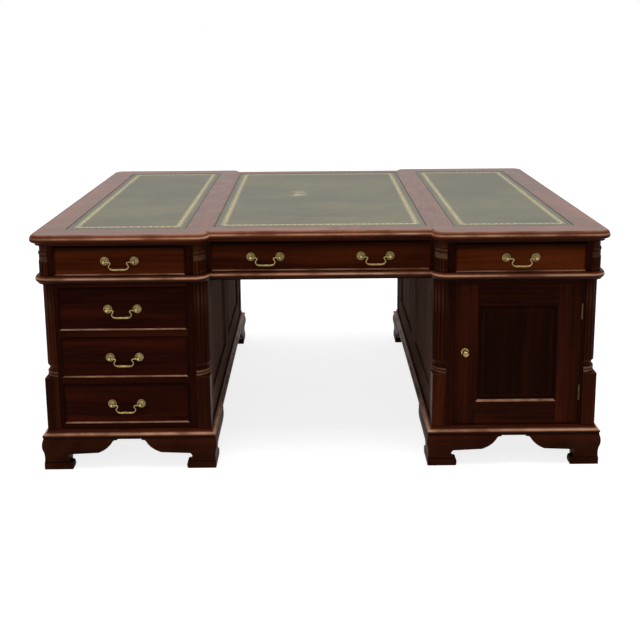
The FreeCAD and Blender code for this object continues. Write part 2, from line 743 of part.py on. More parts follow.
def side_panel_boxes(tongue):
    """Boxes of the four side panels, grown into their grooves by a tongue."""
    z0, z1 = side_panel_heights()
    boxes = []
    for x0, x1 in side_panel_depths():
        for y0, y1 in side_panel_spans():
            boxes.append(box(x0, x1, y0 - tongue, y1 + tongue, z0 - tongue, z1 + tongue))
    return boxes


def side_frames():
    """The stiles and rails of the pedestal's two sides, grooved for the panels."""
    z0, z1 = side_panel_heights()
    (front_y0, front_y1), (rear_y0, rear_y1) = side_panel_spans()
    members = []
    for x0, x1 in ((INNER_FACE_X, CASE_INNER_X), (CASE_OUTER_X, OUTER_FACE_X)):
        members.append(box(x0, x1, -POST_BACK_Y, POST_BACK_Y, BASE_TOP_Z, z0))
        members.append(box(x0, x1, -POST_BACK_Y, POST_BACK_Y, z1, PEDESTAL_TOP_Z))
        members.append(box(x0, x1, -POST_BACK_Y, front_y0, z0, z1))
        members.append(box(x0, x1, front_y1, rear_y0, z0, z1))
        members.append(box(x0, x1, rear_y1, POST_BACK_Y, z0, z1))
    grooves = Part.makeCompound(side_panel_boxes(PANEL_TONGUE + TONGUE_CLEARANCE))
    return [solid_of(member.cut(grooves)) for member in members]


def face_frames():
    """The stiles and rails of the pedestal's two working faces."""
    pieces = []
    hinge_cuts = Part.makeCompound(hinge_recesses())
    for side in (FRONT, REAR):
        inner = face_box(
            side, INNER_STILE_X, OPENING_INNER_X, 0, STILE_THICKNESS, BASE_TOP_Z, PEDESTAL_TOP_Z
        )
        outer = face_box(
            side, OPENING_OUTER_X, OUTER_STILE_X, 0, STILE_THICKNESS, BASE_TOP_Z, PEDESTAL_TOP_Z
        )
        head = face_box(
            side,
            OPENING_INNER_X,
            OPENING_OUTER_X,
            0,
            STILE_THICKNESS,
            PEDESTAL_TOP_BOARD_Z,
            PEDESTAL_TOP_Z,
        )
        foot_z = DOOR_OPENING_Z if side == FRONT else LOWER_DRAWER_Z
        foot = face_box(
            side, OPENING_INNER_X, OPENING_OUTER_X, 0, STILE_THICKNESS, BASE_TOP_Z, foot_z
        )
        pieces += [inner, solid_of(outer.cut(hinge_cuts)), head, foot]
    for z in (LOWER_RAIL_Z, UPPER_RAIL_Z):
        pieces.append(
            face_box(
                REAR, OPENING_INNER_X, OPENING_OUTER_X, 0, RAIL_DEPTH, z, z + DRAWER_RAIL_THICKNESS
            )
        )
    return pieces


def notched_board(z0, z1):
    """A board across the inside of the pedestal, notched round the corner posts."""
    back_y = FACE_Y - STILE_THICKNESS
    wide = box(CASE_INNER_X, CASE_OUTER_X, -POST_BACK_Y, POST_BACK_Y, z0, z1)
    long = box(INNER_STILE_X, OUTER_STILE_X, -back_y, back_y, z0, z1)
    return solid_of(wide.fuse(long).removeSplitter())


def case_boards():
    """The pedestal's bottom and top boards and the divider between cupboard and drawers."""
    half_divider = DIVIDER_THICKNESS / 2.0
    divider = box(
        CASE_INNER_X,
        CASE_OUTER_X,
        -half_divider,
        half_divider,
        BOTTOM_BOARD_Z,
        PEDESTAL_TOP_BOARD_Z,
    )
    return [
        notched_board(BASE_TOP_Z, BOTTOM_BOARD_Z),
        notched_board(PEDESTAL_TOP_BOARD_Z, PEDESTAL_TOP_Z),
        divider,
    ]


def drawer_runners():
    """The runners under each pedestal drawer and the guides beside it, behind the rear face."""
    pieces = []
    divider_depth = FACE_Y - DIVIDER_THICKNESS / 2.0
    post_depth = FACE_Y - POST_BACK_Y
    levels = [
        (LOWER_DRAWER_Z, LOWEST_RUNNER_HEIGHT, post_depth),
        (MIDDLE_DRAWER_Z, DRAWER_RAIL_THICKNESS, RAIL_DEPTH),
        (UPPER_DRAWER_Z, DRAWER_RAIL_THICKNESS, RAIL_DEPTH),
    ]
    ledge_inner = OPENING_INNER_X + RUNNER_LEDGE
    ledge_outer = OPENING_OUTER_X - RUNNER_LEDGE
    for z, height, start in levels:
        guide_top = z + GUIDE_HEIGHT
        pieces += [
            face_box(REAR, CASE_INNER_X, ledge_inner, start, divider_depth, z - height, z),
            face_box(REAR, ledge_outer, CASE_OUTER_X, start, divider_depth, z - height, z),
            face_box(REAR, CASE_INNER_X, OPENING_INNER_X, post_depth, divider_depth, z, guide_top),
            face_box(REAR, OPENING_OUTER_X, CASE_OUTER_X, post_depth, divider_depth, z, guide_top),
        ]
    return pieces


def cupboard_fittings():
    """The shelf's two cleats and the strip that the closed door meets, behind the front face."""
    divider_depth = FACE_Y - DIVIDER_THICKNESS / 2.0
    cleat_start = STILE_THICKNESS + SHELF_SETBACK
    cleat_z = SHELF_Z - CLEAT_SIZE
    stop_depth = STILE_THICKNESS + DOOR_STOP_THICKNESS
    inner_cleat_x = CASE_INNER_X + CLEAT_SIZE
    outer_cleat_x = CASE_OUTER_X - CLEAT_SIZE
    return [
        face_box(FRONT, CASE_INNER_X, inner_cleat_x, cleat_start, divider_depth, cleat_z, SHELF_Z),
        face_box(FRONT, outer_cleat_x, CASE_OUTER_X, cleat_start, divider_depth, cleat_z, SHELF_Z),
        face_box(
            FRONT,
            INNER_STILE_X,
            OPENING_INNER_X + DOOR_STOP_LAP,
            STILE_THICKNESS,
            stop_depth,
            BOTTOM_BOARD_Z,
            PEDESTAL_TOP_BOARD_Z,
        ),
    ]


def cupboard_shelf():
    """The shelf of the cupboard, lying on its cleats."""
    divider_depth = FACE_Y - DIVIDER_THICKNESS / 2.0
    return face_box(
        FRONT,
        CASE_INNER_X + SHELF_END_GAP,
        CASE_OUTER_X - SHELF_END_GAP,
        STILE_THICKNESS + SHELF_SETBACK,
        divider_depth - SHELF_END_GAP,
        SHELF_Z,
        SHELF_Z + SHELF_THICKNESS,
    )


def pedestal_case():
    """Every fixed board of the right pedestal's case."""
    return side_frames() + face_frames() + case_boards() + drawer_runners() + cupboard_fittings()


# Base: lengths and feet are drawn along +X, outward to -Y, and then placed on each side
def placed_on_sides(start_length):
    """Put a piece on the four sides of the right pedestal; start_length(length) makes it for one side."""
    width = OUTER_BLOCK_X - INNER_BLOCK_X
    sides = [
        (0.0, INNER_BLOCK_X, -BLOCK_Y, width),
        (QUARTER_TURN, OUTER_BLOCK_X, -BLOCK_Y, CARCASE_DEPTH),
        (HALF_TURN, OUTER_BLOCK_X, BLOCK_Y, width),
        (-QUARTER_TURN, INNER_BLOCK_X, BLOCK_Y, CARCASE_DEPTH),
    ]
    pieces = []
    for angle, x, y, length in sides:
        for piece in start_length(length):
            pieces.append(moved(turned(piece, angle), x, y, 0))
    return pieces


def base_section():
    """The base moulding's section: a step, a torus and a cove above each other, on a flat frame."""

    def point(projection, z):
        return Vector(0, -projection, z)

    step_z = FOOT_HEIGHT + BASE_STEP_HEIGHT
    torus_z = step_z + BASE_TORUS_HEIGHT
    torus_root = BASE_PROJECTION - BASE_TORUS_DEPTH
    cove_top_z = BASE_TOP_Z - BASE_FILLET_HEIGHT
    inner_foot = point(-BASE_FRAME_WIDTH, FOOT_HEIGHT)
    step_foot = point(BASE_STEP_PROJECTION, FOOT_HEIGHT)
    step_head = point(BASE_STEP_PROJECTION, step_z)
    torus_foot = point(torus_root, step_z)
    torus_tip = point(BASE_PROJECTION, step_z + BASE_TORUS_HEIGHT / 2.0)
    torus_head = point(torus_root, torus_z)
    cove_foot = point(torus_root - BASE_TORUS_DEPTH / 2.0, torus_z)
    cove_head = point(BASE_TOP_PROJECTION, cove_top_z)
    cove_span = cove_foot - cove_head
    cove_middle = cove_head + Vector(0, cove_span.y * COVE_BOW_OUT, cove_span.z * COVE_BOW_UP)
    edge = point(BASE_TOP_PROJECTION, BASE_TOP_Z)
    inner_head = point(-BASE_FRAME_WIDTH, BASE_TOP_Z)
    return Part.Wire(
        [
            line(inner_foot, step_foot),
            line(step_foot, step_head),
            line(step_head, torus_foot),
            arc(torus_foot, torus_tip, torus_head),
            line(torus_head, cove_foot),
            arc(cove_foot, cove_middle, cove_head),
            line(cove_head, edge),
            line(edge, inner_head),
            line(inner_head, inner_foot),
        ]
    )


def base_length(length):
    """One length of the base frame, mitred at both ends."""
    out = BASE_PROJECTION
    inside = BASE_FRAME_WIDTH
    bar = Part.Face(base_section()).extrude(AXIS_X * (length + 2.0 * out))
    bar.translate(AXIS_X * -out)
    plan = polygon(
        [
            Vector(-out, -out, FOOT_HEIGHT),
            Vector(length + out, -out, FOOT_HEIGHT),
            Vector(length - inside, inside, FOOT_HEIGHT),
            Vector(inside, inside, FOOT_HEIGHT),
        ]
    )
    mitres = Part.Face(plan).extrude(AXIS_Z * BASE_MOULDING_HEIGHT)
    return [solid_of(bar.common(mitres))]


def foot_section():
    """A bracket foot's ogee section: a bulge above, a hollow at the ankle and a square pad below."""

    def point(projection, z):
        return Vector(0, -projection, z)

    wave = point(FOOT_WAVE_PROJECTION, FOOT_WAVE_HEIGHT)
    pad_root = point(FOOT_ANKLE_PROJECTION + FOOT_TOE_ROUNDING / 2.0, FOOT_PAD_HEIGHT)
    return Part.Wire(
        [
            line(point(-FOOT_INNER_DEPTH, 0), point(FOOT_PAD_PROJECTION, 0)),
            line(point(FOOT_PAD_PROJECTION, 0), point(FOOT_PAD_PROJECTION, FOOT_PAD_HEIGHT)),
            line(point(FOOT_PAD_PROJECTION, FOOT_PAD_HEIGHT), pad_root),
            arc(pad_root, point(FOOT_ANKLE_PROJECTION, FOOT_ANKLE_HEIGHT), wave),
            arc(
                wave,
                point(FOOT_BULGE_PROJECTION, FOOT_BULGE_HEIGHT),
                point(FOOT_TOP_PROJECTION, FOOT_HEIGHT),
            ),
            line(point(FOOT_TOP_PROJECTION, FOOT_HEIGHT), point(-FOOT_INNER_DEPTH, FOOT_HEIGHT)),
            line(point(-FOOT_INNER_DEPTH, FOOT_HEIGHT), point(-FOOT_INNER_DEPTH, 0)),
        ]
    )


def foot_outline():
    """A bracket foot seen from the front: a toe, a notched ankle and a wing that sweeps up."""

    def point(distance, z):
        return Vector(distance - FOOT_BULGE_PROJECTION, 0, z)

    toe = point(FOOT_TOE_LENGTH, 0)
    toe_head = point(FOOT_TOE_LENGTH - FOOT_TOE_ROUNDING / 2.0, FOOT_PAD_HEIGHT)
    ankle_foot = point(
        FOOT_ANKLE_LENGTH + FOOT_ANKLE_ROUNDING, FOOT_PAD_HEIGHT + FOOT_ANKLE_ROUNDING
    )
    ankle_head = point(FOOT_ANKLE_LENGTH + 2.0 * FOOT_ANKLE_ROUNDING, FOOT_NOTCH_HEIGHT)
    wing = point(FOOT_WING_LENGTH, FOOT_WING_HEIGHT)
    tip = point(FOOT_LENGTH, FOOT_HEIGHT - FOOT_TIP_THICKNESS)
    sweep = wing + Vector((tip.x - wing.x) * FOOT_SWEEP_RUN, 0, (tip.z - wing.z) * FOOT_SWEEP_RISE)
    return Part.Wire(
        [
            line(point(0, 0), toe),
            arc(toe, point(FOOT_TOE_LENGTH + FOOT_TOE_ROUNDING, FOOT_PAD_HEIGHT / 2.0), toe_head),
            line(toe_head, ankle_foot),
            arc(ankle_foot, point(FOOT_ANKLE_LENGTH, FOOT_ANKLE_HEIGHT - FOOT_ANKLE_ROUNDING), ankle_head),
            line(ankle_head, wing),
            bowed(wing, sweep, FOOT_SWEEP_BOW),
            bowed(sweep, tip, -FOOT_CORNER_BOW),
            line(tip, point(FOOT_LENGTH, FOOT_HEIGHT)),
            line(point(FOOT_LENGTH, FOOT_HEIGHT), point(0, FOOT_HEIGHT)),
            line(point(0, FOOT_HEIGHT), point(0, 0)),
        ]
    )


def foot_bracket():
    """One bracket, shaped in section and in outline and mitred at the corner."""
    out = FOOT_BULGE_PROJECTION
    inside = FOOT_INNER_DEPTH
    bar = Part.Face(foot_section()).extrude(AXIS_X * FOOT_LENGTH)
    bar.translate(AXIS_X * -out)
    shape = Part.Face(foot_outline()).extrude(AXIS_Y * (out + inside))
    shape.translate(AXIS_Y * -out)
    plan = polygon(
        [
            Vector(-out, -out, 0),
            Vector(FOOT_LENGTH, -out, 0),
            Vector(FOOT_LENGTH, inside, 0),
            Vector(inside, inside, 0),
        ]
    )
    mitre = Part.Face(plan).extrude(AXIS_Z * FOOT_HEIGHT)
    return solid_of(bar.common(shape).common(mitre))


def foot_pair(length):
    """The two brackets of one side and the block behind its first corner."""
    bracket = foot_bracket()
    near = FOOT_INNER_DEPTH
    far = FOOT_INNER_DEPTH + FOOT_BLOCK_SIZE
    block = box(near, far, near, far, FOOT_BLOCK_LIFT, FOOT_HEIGHT)
    return [bracket, moved(mirrored_x(bracket), length, 0, 0), block]


# Drawers, facing the front
def drawer(x0, x1, z0, z1, face_y, back_y, handle_xs):
    """A drawer for an opening: front, two sides, back, bottom and four lengths of cock bead."""
    left = x0 + DRAWER_SIDE_CLEARANCE
    right = x1 - DRAWER_SIDE_CLEARANCE
    bottom = z0 + DRAWER_SEAT_GAP
    top = z1 - DRAWER_TOP_CLEARANCE
    side_top = top - DRAWER_SIDE_DROP
    box_y = DRAWER_FRONT_THICKNESS - face_y
    floor_z = bottom + DRAWER_BOTTOM_LIFT
    floor_top = floor_z + DRAWER_BOTTOM_THICKNESS
    inner_left = left + DRAWER_SIDE_THICKNESS
    inner_right = right - DRAWER_SIDE_THICKNESS
    rebate_y = COCK_BEAD_REBATE - face_y
    front = box(left, right, -face_y, box_y, bottom, top).cut(
        rim(left, right, -face_y, rebate_y, bottom, top)
    )
    for x, z in handle_posts(handle_xs, (z0 + z1) / 2.0):
        hole_radius = BOLT_RADIUS + BOLT_HOLE_CLEARANCE
        start = Vector(x, -face_y, z)
        front = front.cut(Part.makeCylinder(hole_radius, DRAWER_FRONT_THICKNESS, start, AXIS_Y))
    return [
        solid_of(front.removeSplitter()),
        box(left, inner_left, box_y, -back_y, bottom, side_top),
        box(inner_right, right, box_y, -back_y, bottom, side_top),
        box(inner_left, inner_right, -back_y - DRAWER_SIDE_THICKNESS, -back_y, floor_top, side_top),
        box(inner_left, inner_right, box_y, -back_y, floor_z, floor_top),
        *cock_beads(left, right, -face_y - COCK_BEAD_PROUD, rebate_y, bottom, top),
    ]


def rim(left, right, y0, y1, bottom, top):
    """A frame as wide as a cock bead, round the edge of a drawer's front."""
    inset = COCK_BEAD_WIDTH
    outer = box(left, right, y0, y1, bottom, top)
    return outer.cut(box(left + inset, right - inset, y0, y1, bottom + inset, top - inset))


def cock_beads(left, right, y0, y1, bottom, top):
    """Four mitred lengths of bead in the rebate of a drawer's front, rounded where they stand proud."""
    ring = rim(left, right, y0, y1, bottom, top)
    arrises = [
        edge for edge in ring.Edges if all(abs(vertex.Point.y - y0) < TINY for vertex in edge.Vertexes)
    ]
    ring = ring.makeFillet(COCK_BEAD_ROUNDING, arrises)
    inset = COCK_BEAD_WIDTH
    corners = [(left, bottom), (right, bottom), (right, top), (left, top)]
    inner = [(left + inset, bottom + inset), (right - inset, bottom + inset),
             (right - inset, top - inset), (left + inset, top - inset)]
    lengths = []
    for index, (start, inner_start) in enumerate(zip(corners, inner)):
        following = (index + 1) % len(corners)
        outline = [start, corners[following], inner[following], inner_start]
        wedge = Part.Face(polygon([Vector(x, y0, z) for x, z in outline])).extrude(Vector(0, y1 - y0, 0))
        lengths.append(solid_of(ring.common(wedge)))
    return lengths


# Handles
def handle_posts(handle_xs, z):
    """The places of the posts of handles centred at some X values."""
    half = HANDLE_SPACING / 2.0
    return [(x + side * half, z) for x in handle_xs for side in (-1, 1)]


def turned_piece(edges):
    """A solid turned about the Y axis from a section drawn in radius (X) and outward distance (-Y)."""
    return solid_of(Part.Face(Part.Wire(edges)).revolve(ORIGIN, AXIS_Y, FULL_TURN))


def rose():
    """A dished round plate with a raised rim, drawn on the face at the origin."""

    def point(radius, outward):
        return Vector(radius, -outward, 0)

    hole = BOLT_RADIUS + BOLT_CLEARANCE
    rim_inner = ROSE_RADIUS - ROSE_RIM_WIDTH
    rim_middle = ROSE_RADIUS - ROSE_RIM_WIDTH / 2.0
    dish_radius = (rim_inner + ROSE_DISH_RADIUS) / 2.0
    dish_height = (ROSE_EDGE_HEIGHT + ROSE_HEIGHT) / 2.0 - ROSE_EDGE_HEIGHT / 2.0
    return turned_piece(
        [
            line(point(hole, 0), point(ROSE_RADIUS, 0)),
            line(point(ROSE_RADIUS, 0), point(ROSE_RADIUS, ROSE_EDGE_HEIGHT)),
            arc(
                point(ROSE_RADIUS, ROSE_EDGE_HEIGHT),
                point(rim_middle, ROSE_RIM_HEIGHT),
                point(rim_inner, ROSE_EDGE_HEIGHT),
            ),
            arc(
                point(rim_inner, ROSE_EDGE_HEIGHT),
                point(dish_radius, dish_height),
                point(ROSE_DISH_RADIUS, ROSE_HEIGHT),
            ),
            line(point(ROSE_DISH_RADIUS, ROSE_HEIGHT), point(hole, ROSE_HEIGHT)),
            line(point(hole, ROSE_HEIGHT), point(hole, 0)),
        ]
    )


def post(inward):
    """A handle's post with its bolt; inward is +1 or -1, the way along X to the other post."""
    flange_top = ROSE_HEIGHT + POST_FLANGE_HEIGHT
    bolt_length = DRAWER_FRONT_THICKNESS + NUT_HEIGHT + BOLT_END
    bolt = Part.makeCylinder(
        BOLT_RADIUS, bolt_length + ROSE_HEIGHT, Vector(0, bolt_length, 0), -AXIS_Y
    )
    flange = Part.makeCylinder(
        POST_FLANGE_RADIUS, POST_FLANGE_HEIGHT, Vector(0, -ROSE_HEIGHT, 0), -AXIS_Y
    )
    stem = Part.makeCylinder(
        POST_STEM_RADIUS, POST_REACH - flange_top, Vector(0, -flange_top, 0), -AXIS_Y
    )
    ball = Part.makeSphere(POST_BALL_RADIUS, Vector(0, -POST_REACH, 0))
    whole = bolt.fuse([flange, stem, ball])
    bore = Part.makeCylinder(
        BAIL_PIN_RADIUS + BAIL_PIN_CLEARANCE,
        POST_BALL_RADIUS * 2.0,
        Vector(-inward * POST_BORE_END, -POST_REACH, 0),
        AXIS_X * inward,
    )
    return solid_of(whole.cut(bore).removeSplitter())


def nut():
    """The hexagonal nut inside the drawer's front."""
    corners = []
    for index in range(NUT_SIDES):
        angle = math.radians(FULL_TURN * index / NUT_SIDES)
        corners.append(
            Vector(NUT_RADIUS * math.cos(angle), DRAWER_FRONT_THICKNESS, NUT_RADIUS * math.sin(angle))
        )
    body = Part.Face(polygon(corners)).extrude(AXIS_Y * NUT_HEIGHT)
    bore = Part.makeCylinder(
        BOLT_RADIUS + BOLT_CLEARANCE, NUT_HEIGHT, Vector(0, DRAWER_FRONT_THICKNESS, 0), AXIS_Y
    )
    return solid_of(body.cut(bore))


def roses(handle_xs, z, face_y):
    """Roses, posts and nuts of one drawer's handles."""
    pieces = []
    for x in handle_xs:
        for side in (-1, 1):
            place = (x + side * HANDLE_SPACING / 2.0, -face_y, z)
            pieces += [moved(piece, *place) for piece in (rose(), post(-side), nut())]
    return pieces


def bail(x, z, face_y):
    """A swan-neck bail: a rod with two S-shaped necks, pins at its ends and a swelling grip."""
    half = HANDLE_SPACING / 2.0
    shoulder = half - POST_BALL_RADIUS - BAIL_SHOULDER_GAP
    elbow = half - BAIL_ELBOW_REACH
    foot = half - BAIL_FOOT_REACH
    path = rounded_path(
        [
            Vector(-shoulder, 0, 0),
            Vector(-elbow, 0, 0),
            Vector(-foot, 0, -BAIL_DROP),
            Vector(foot, 0, -BAIL_DROP),
            Vector(elbow, 0, 0),
            Vector(shoulder, 0, 0),
        ],
        [BAIL_ELBOW_RADIUS, BAIL_FOOT_RADIUS, BAIL_FOOT_RADIUS, BAIL_ELBOW_RADIUS],
    )
    section = Part.Wire(Part.makeCircle(BAIL_ROD_RADIUS, Vector(-shoulder, 0, 0), AXIS_X))
    rod = solid_of(path.makePipeShell([section], True, False))
    pin_end = half + POST_BORE_END - BAIL_PIN_END
    pin = Part.makeCylinder(BAIL_PIN_RADIUS, pin_end - shoulder, Vector(shoulder, 0, 0), AXIS_X)
    whole = rod.fuse([pin, mirrored_x(pin), bail_grip(foot - BAIL_FOOT_RADIUS)])
    return moved(solid_of(whole.removeSplitter()), x, -face_y - POST_REACH, z)


def bail_grip(half_length):
    """The swelling of a bail's grip, thickest in the middle."""
    z = -BAIL_DROP
    end_z = z + BAIL_GRIP_END_RADIUS
    ends = [Vector(-half_length, 0, end_z), Vector(half_length, 0, end_z)]
    section = Part.Wire(
        [
            arc(ends[0], Vector(0, 0, z + BAIL_GRIP_RADIUS), ends[1]),
            line(ends[1], Vector(half_length, 0, z)),
            line(Vector(half_length, 0, z), Vector(-half_length, 0, z)),
            line(Vector(-half_length, 0, z), ends[0]),
        ]
    )
    return solid_of(Part.Face(section).revolve(Vector(0, 0, z), AXIS_X, FULL_TURN))


# Front cupboard door, in the right pedestal
DOOR_LEFT_X = OPENING_INNER_X + DOOR_CLEARANCE
DOOR_RIGHT_X = OPENING_OUTER_X - DOOR_CLEARANCE
DOOR_BOTTOM_Z = DOOR_OPENING_Z + DOOR_CLEARANCE
DOOR_TOP_Z = PEDESTAL_TOP_BOARD_Z - DOOR_CLEARANCE
DOOR_THICKNESS = STILE_THICKNESS - DOOR_BACK_GAP
HINGE_X = OPENING_OUTER_X - DOOR_CLEARANCE / 2.0
HINGE_Y = -FACE_Y - HINGE_PROUD
HINGE_LEVELS = (DOOR_OPENING_Z + LOWER_HINGE_SETBACK, PEDESTAL_TOP_BOARD_Z - UPPER_HINGE_SETBACK)
KNOB_X = DOOR_LEFT_X + KNOB_EDGE_DISTANCE
KNOB_Z = DOOR_OPENING_Z + KNOB_HEIGHT_ABOVE_SILL


def door_opening():
    """The opening for the door's panel as (x0, x1, z0, z1)."""
    return (
        DOOR_LEFT_X + DOOR_STILE_WIDTH,
        DOOR_RIGHT_X - DOOR_STILE_WIDTH,
        DOOR_BOTTOM_Z + DOOR_BOTTOM_RAIL_HEIGHT,
        DOOR_TOP_Z - DOOR_TOP_RAIL_HEIGHT,
    )


def door_frame():
    """The door's two stiles and two rails, grooved for its panel and cut for knob and hinges."""
    x0, x1, z0, z1 = door_opening()
    members = [
        face_box(FRONT, DOOR_LEFT_X, x0, 0, DOOR_THICKNESS, DOOR_BOTTOM_Z, DOOR_TOP_Z),
        face_box(FRONT, x1, DOOR_RIGHT_X, 0, DOOR_THICKNESS, DOOR_BOTTOM_Z, DOOR_TOP_Z),
        face_box(FRONT, x0, x1, 0, DOOR_THICKNESS, DOOR_BOTTOM_Z, z0),
        face_box(FRONT, x0, x1, 0, DOOR_THICKNESS, z1, DOOR_TOP_Z),
    ]
    shank_hole = Part.makeCylinder(
        KNOB_SHANK_RADIUS + BOLT_CLEARANCE, KNOB_SHANK_LENGTH, Vector(KNOB_X, -FACE_Y, KNOB_Z), AXIS_Y
    )
    cuts = [door_tongue(PANEL_TONGUE + TONGUE_CLEARANCE), shank_hole] + hinge_recesses()
    return [solid_of(member.cut(Part.makeCompound(cuts))) for member in members]


def door_tongue(reach):
    """The flat part of the door's panel, reaching into the frame's grooves."""
    x0, x1, z0, z1 = door_opening()
    back = DOOR_TONGUE_DEPTH + DOOR_TONGUE_THICKNESS
    return face_box(
        FRONT, x0 - reach, x1 + reach, DOOR_TONGUE_DEPTH, back, z0 - reach, z1 + reach
    )


def door_panel():
    """The door's raised panel: a flat tongue, a bevel and a raised field."""
    x0, x1, z0, z1 = door_opening()

    def rectangle(margin, depth):
        y = depth - FACE_Y
        return polygon(
            [
                Vector(x0 + margin, y, z0 + margin),
                Vector(x1 - margin, y, z0 + margin),
                Vector(x1 - margin, y, z1 - margin),
                Vector(x0 + margin, y, z1 - margin),
            ]
        )

    bevel = Part.makeLoft(
        [rectangle(DOOR_BEVEL_GAP, DOOR_TONGUE_DEPTH), rectangle(DOOR_FIELD_MARGIN, DOOR_FIELD_DEPTH)],
        True,
        True,
    )
    return solid_of(door_tongue(PANEL_TONGUE).fuse(bevel).removeSplitter())


def door_knob():
    """The door's turned knob on its round plate, with the shank that holds it."""
    plate = Part.makeCylinder(KNOB_PLATE_RADIUS, KNOB_PLATE_HEIGHT, ORIGIN, -AXIS_Y)
    stem = Part.makeCylinder(KNOB_STEM_RADIUS, KNOB_REACH, ORIGIN, -AXIS_Y)
    ball = Part.makeSphere(KNOB_BALL_RADIUS, Vector(0, -KNOB_REACH, 0))
    shank = Part.makeCylinder(KNOB_SHANK_RADIUS, KNOB_SHANK_LENGTH, ORIGIN, AXIS_Y)
    knob = plate.fuse([stem, ball, shank]).removeSplitter()
    return moved(solid_of(knob), KNOB_X, -FACE_Y, KNOB_Z)


def hinge_cylinder(radius, z0, z1):
    return Part.makeCylinder(radius, z1 - z0, Vector(HINGE_X, HINGE_Y, z0))


def hinge_leaf_box(x0, z):
    """A leaf's plate, let into the wood behind the working face."""
    half = HINGE_LENGTH / 2.0
    back_y = HINGE_LEAF_DEPTH - FACE_Y
    return box(x0, x0 + HINGE_LEAF_THICKNESS, HINGE_Y, back_y, z - half, z + half)


def hinge_recesses():
    """What the hinges take out of the door and the stile: leaf beds and a hollow for the barrel."""
    cuts = []
    half = HINGE_LENGTH / 2.0 + HINGE_PIN_HEAD_HEIGHT + HINGE_BARREL_CLEARANCE
    for z in HINGE_LEVELS:
        cuts.append(hinge_leaf_box(OPENING_OUTER_X, z))
        cuts.append(hinge_leaf_box(DOOR_RIGHT_X - HINGE_LEAF_THICKNESS, z))
        cuts.append(hinge_cylinder(HINGE_BARREL_RADIUS + HINGE_BARREL_CLEARANCE, z - half, z + half))
    return cuts


def hinge_knuckles(z):
    """The barrel's three knuckles as (z0, z1), from the bottom."""
    half = HINGE_LENGTH / 2.0
    lower = z - half + HINGE_END_KNUCKLE
    upper = z + half - HINGE_END_KNUCKLE
    return [
        (z - half, lower),
        (lower + HINGE_KNUCKLE_GAP, upper - HINGE_KNUCKLE_GAP),
        (upper, z + half),
    ]


def hinge_leaf(x0, z, own, other):
    """A leaf with its own knuckles, cleared round the other leaf's knuckles and bored for the pin."""
    knuckles = hinge_knuckles(z)
    leaf = hinge_leaf_box(x0, z)
    clear_radius = HINGE_BARREL_RADIUS + HINGE_BARREL_CLEARANCE
    for index in other:
        z0, z1 = knuckles[index]
        gap = HINGE_KNUCKLE_GAP
        leaf = leaf.cut(hinge_cylinder(clear_radius, z0 - gap, z1 + gap))
    for index in own:
        leaf = leaf.fuse(hinge_cylinder(HINGE_BARREL_RADIUS, *knuckles[index]))
    half = HINGE_LENGTH / 2.0
    bore = hinge_cylinder(HINGE_PIN_RADIUS + HINGE_PIN_CLEARANCE, z - half, z + half)
    return solid_of(leaf.cut(bore).removeSplitter())


def hinge_pin(z):
    """A hinge pin with a head at each end."""
    half = HINGE_LENGTH / 2.0
    head = HINGE_PIN_HEAD_HEIGHT
    shaft = hinge_cylinder(HINGE_PIN_RADIUS, z - half, z + half)
    heads = [
        hinge_cylinder(HINGE_PIN_HEAD_RADIUS, z - half - head, z - half),
        hinge_cylinder(HINGE_PIN_HEAD_RADIUS, z + half, z + half + head),
    ]
    return solid_of(shaft.fuse(heads).removeSplitter())


def door_leaves():
    """The hinge leaves that swing with the door."""
    return [
        hinge_leaf(DOOR_RIGHT_X - HINGE_LEAF_THICKNESS, z, own=[1], other=[0, 2]) for z in HINGE_LEVELS
    ]


def fixed_leaves():
    """The hinge leaves on the pedestal, with the pins."""
    pieces = []
    for z in HINGE_LEVELS:
        pieces += [hinge_leaf(OPENING_OUTER_X, z, own=[0, 2], other=[1]), hinge_pin(z)]
    return pieces


# Assembly
def front_drawers():
    """The front face's drawers as name: (x0, x1, z0, z1, face_y, back_y, handle centres)."""
    pedestal_back = DIVIDER_THICKNESS / 2.0 + DRAWER_BACK_GAP
    frieze_back = SPINE_THICKNESS / 2.0 + DRAWER_BACK_GAP
    pedestal_x = [(OPENING_INNER_X + OPENING_OUTER_X) / 2.0]
    frieze_x = [(FRIEZE_OPENING_INNER_X + FRIEZE_OPENING_OUTER_X) / 2.0]
    left_frieze = (-FRIEZE_OPENING_OUTER_X, -FRIEZE_OPENING_INNER_X)
    right_frieze = (FRIEZE_OPENING_INNER_X, FRIEZE_OPENING_OUTER_X)
    pedestal = (-OPENING_OUTER_X, -OPENING_INNER_X)
    centre = (-CENTRE_OPENING_X, CENTRE_OPENING_X)
    centre_xs = [-CENTRE_HANDLE_OFFSET, CENTRE_HANDLE_OFFSET]
    frieze_z = (FRIEZE_Z, FRIEZE_RAIL_Z)
    left_frieze_xs = [-x for x in frieze_x]
    pedestal_xs = [-x for x in pedestal_x]
    return {
        "left_frieze_drawer": (*left_frieze, *frieze_z, FACE_Y, frieze_back, left_frieze_xs),
        "centre_frieze_drawer": (*centre, *frieze_z, CENTRE_FACE_Y, frieze_back, centre_xs),
        "right_frieze_drawer": (*right_frieze, *frieze_z, FACE_Y, frieze_back, frieze_x),
        "upper_drawer": (
            *pedestal, UPPER_DRAWER_Z, PEDESTAL_TOP_BOARD_Z, FACE_Y, pedestal_back, pedestal_xs
        ),
        "middle_drawer": (
            *pedestal, MIDDLE_DRAWER_Z, UPPER_RAIL_Z, FACE_Y, pedestal_back, pedestal_xs
        ),
        "lower_drawer": (
            *pedestal, LOWER_DRAWER_Z, LOWER_RAIL_Z, FACE_Y, pedestal_back, pedestal_xs
        ),
    }


def bail_names(drawer_name, count):
    """Names of a drawer's bails, left first where it has two."""
    if count == 1:
        return [drawer_name + "_bail"]
    return [drawer_name + "_left_bail", drawer_name + "_right_bail"]


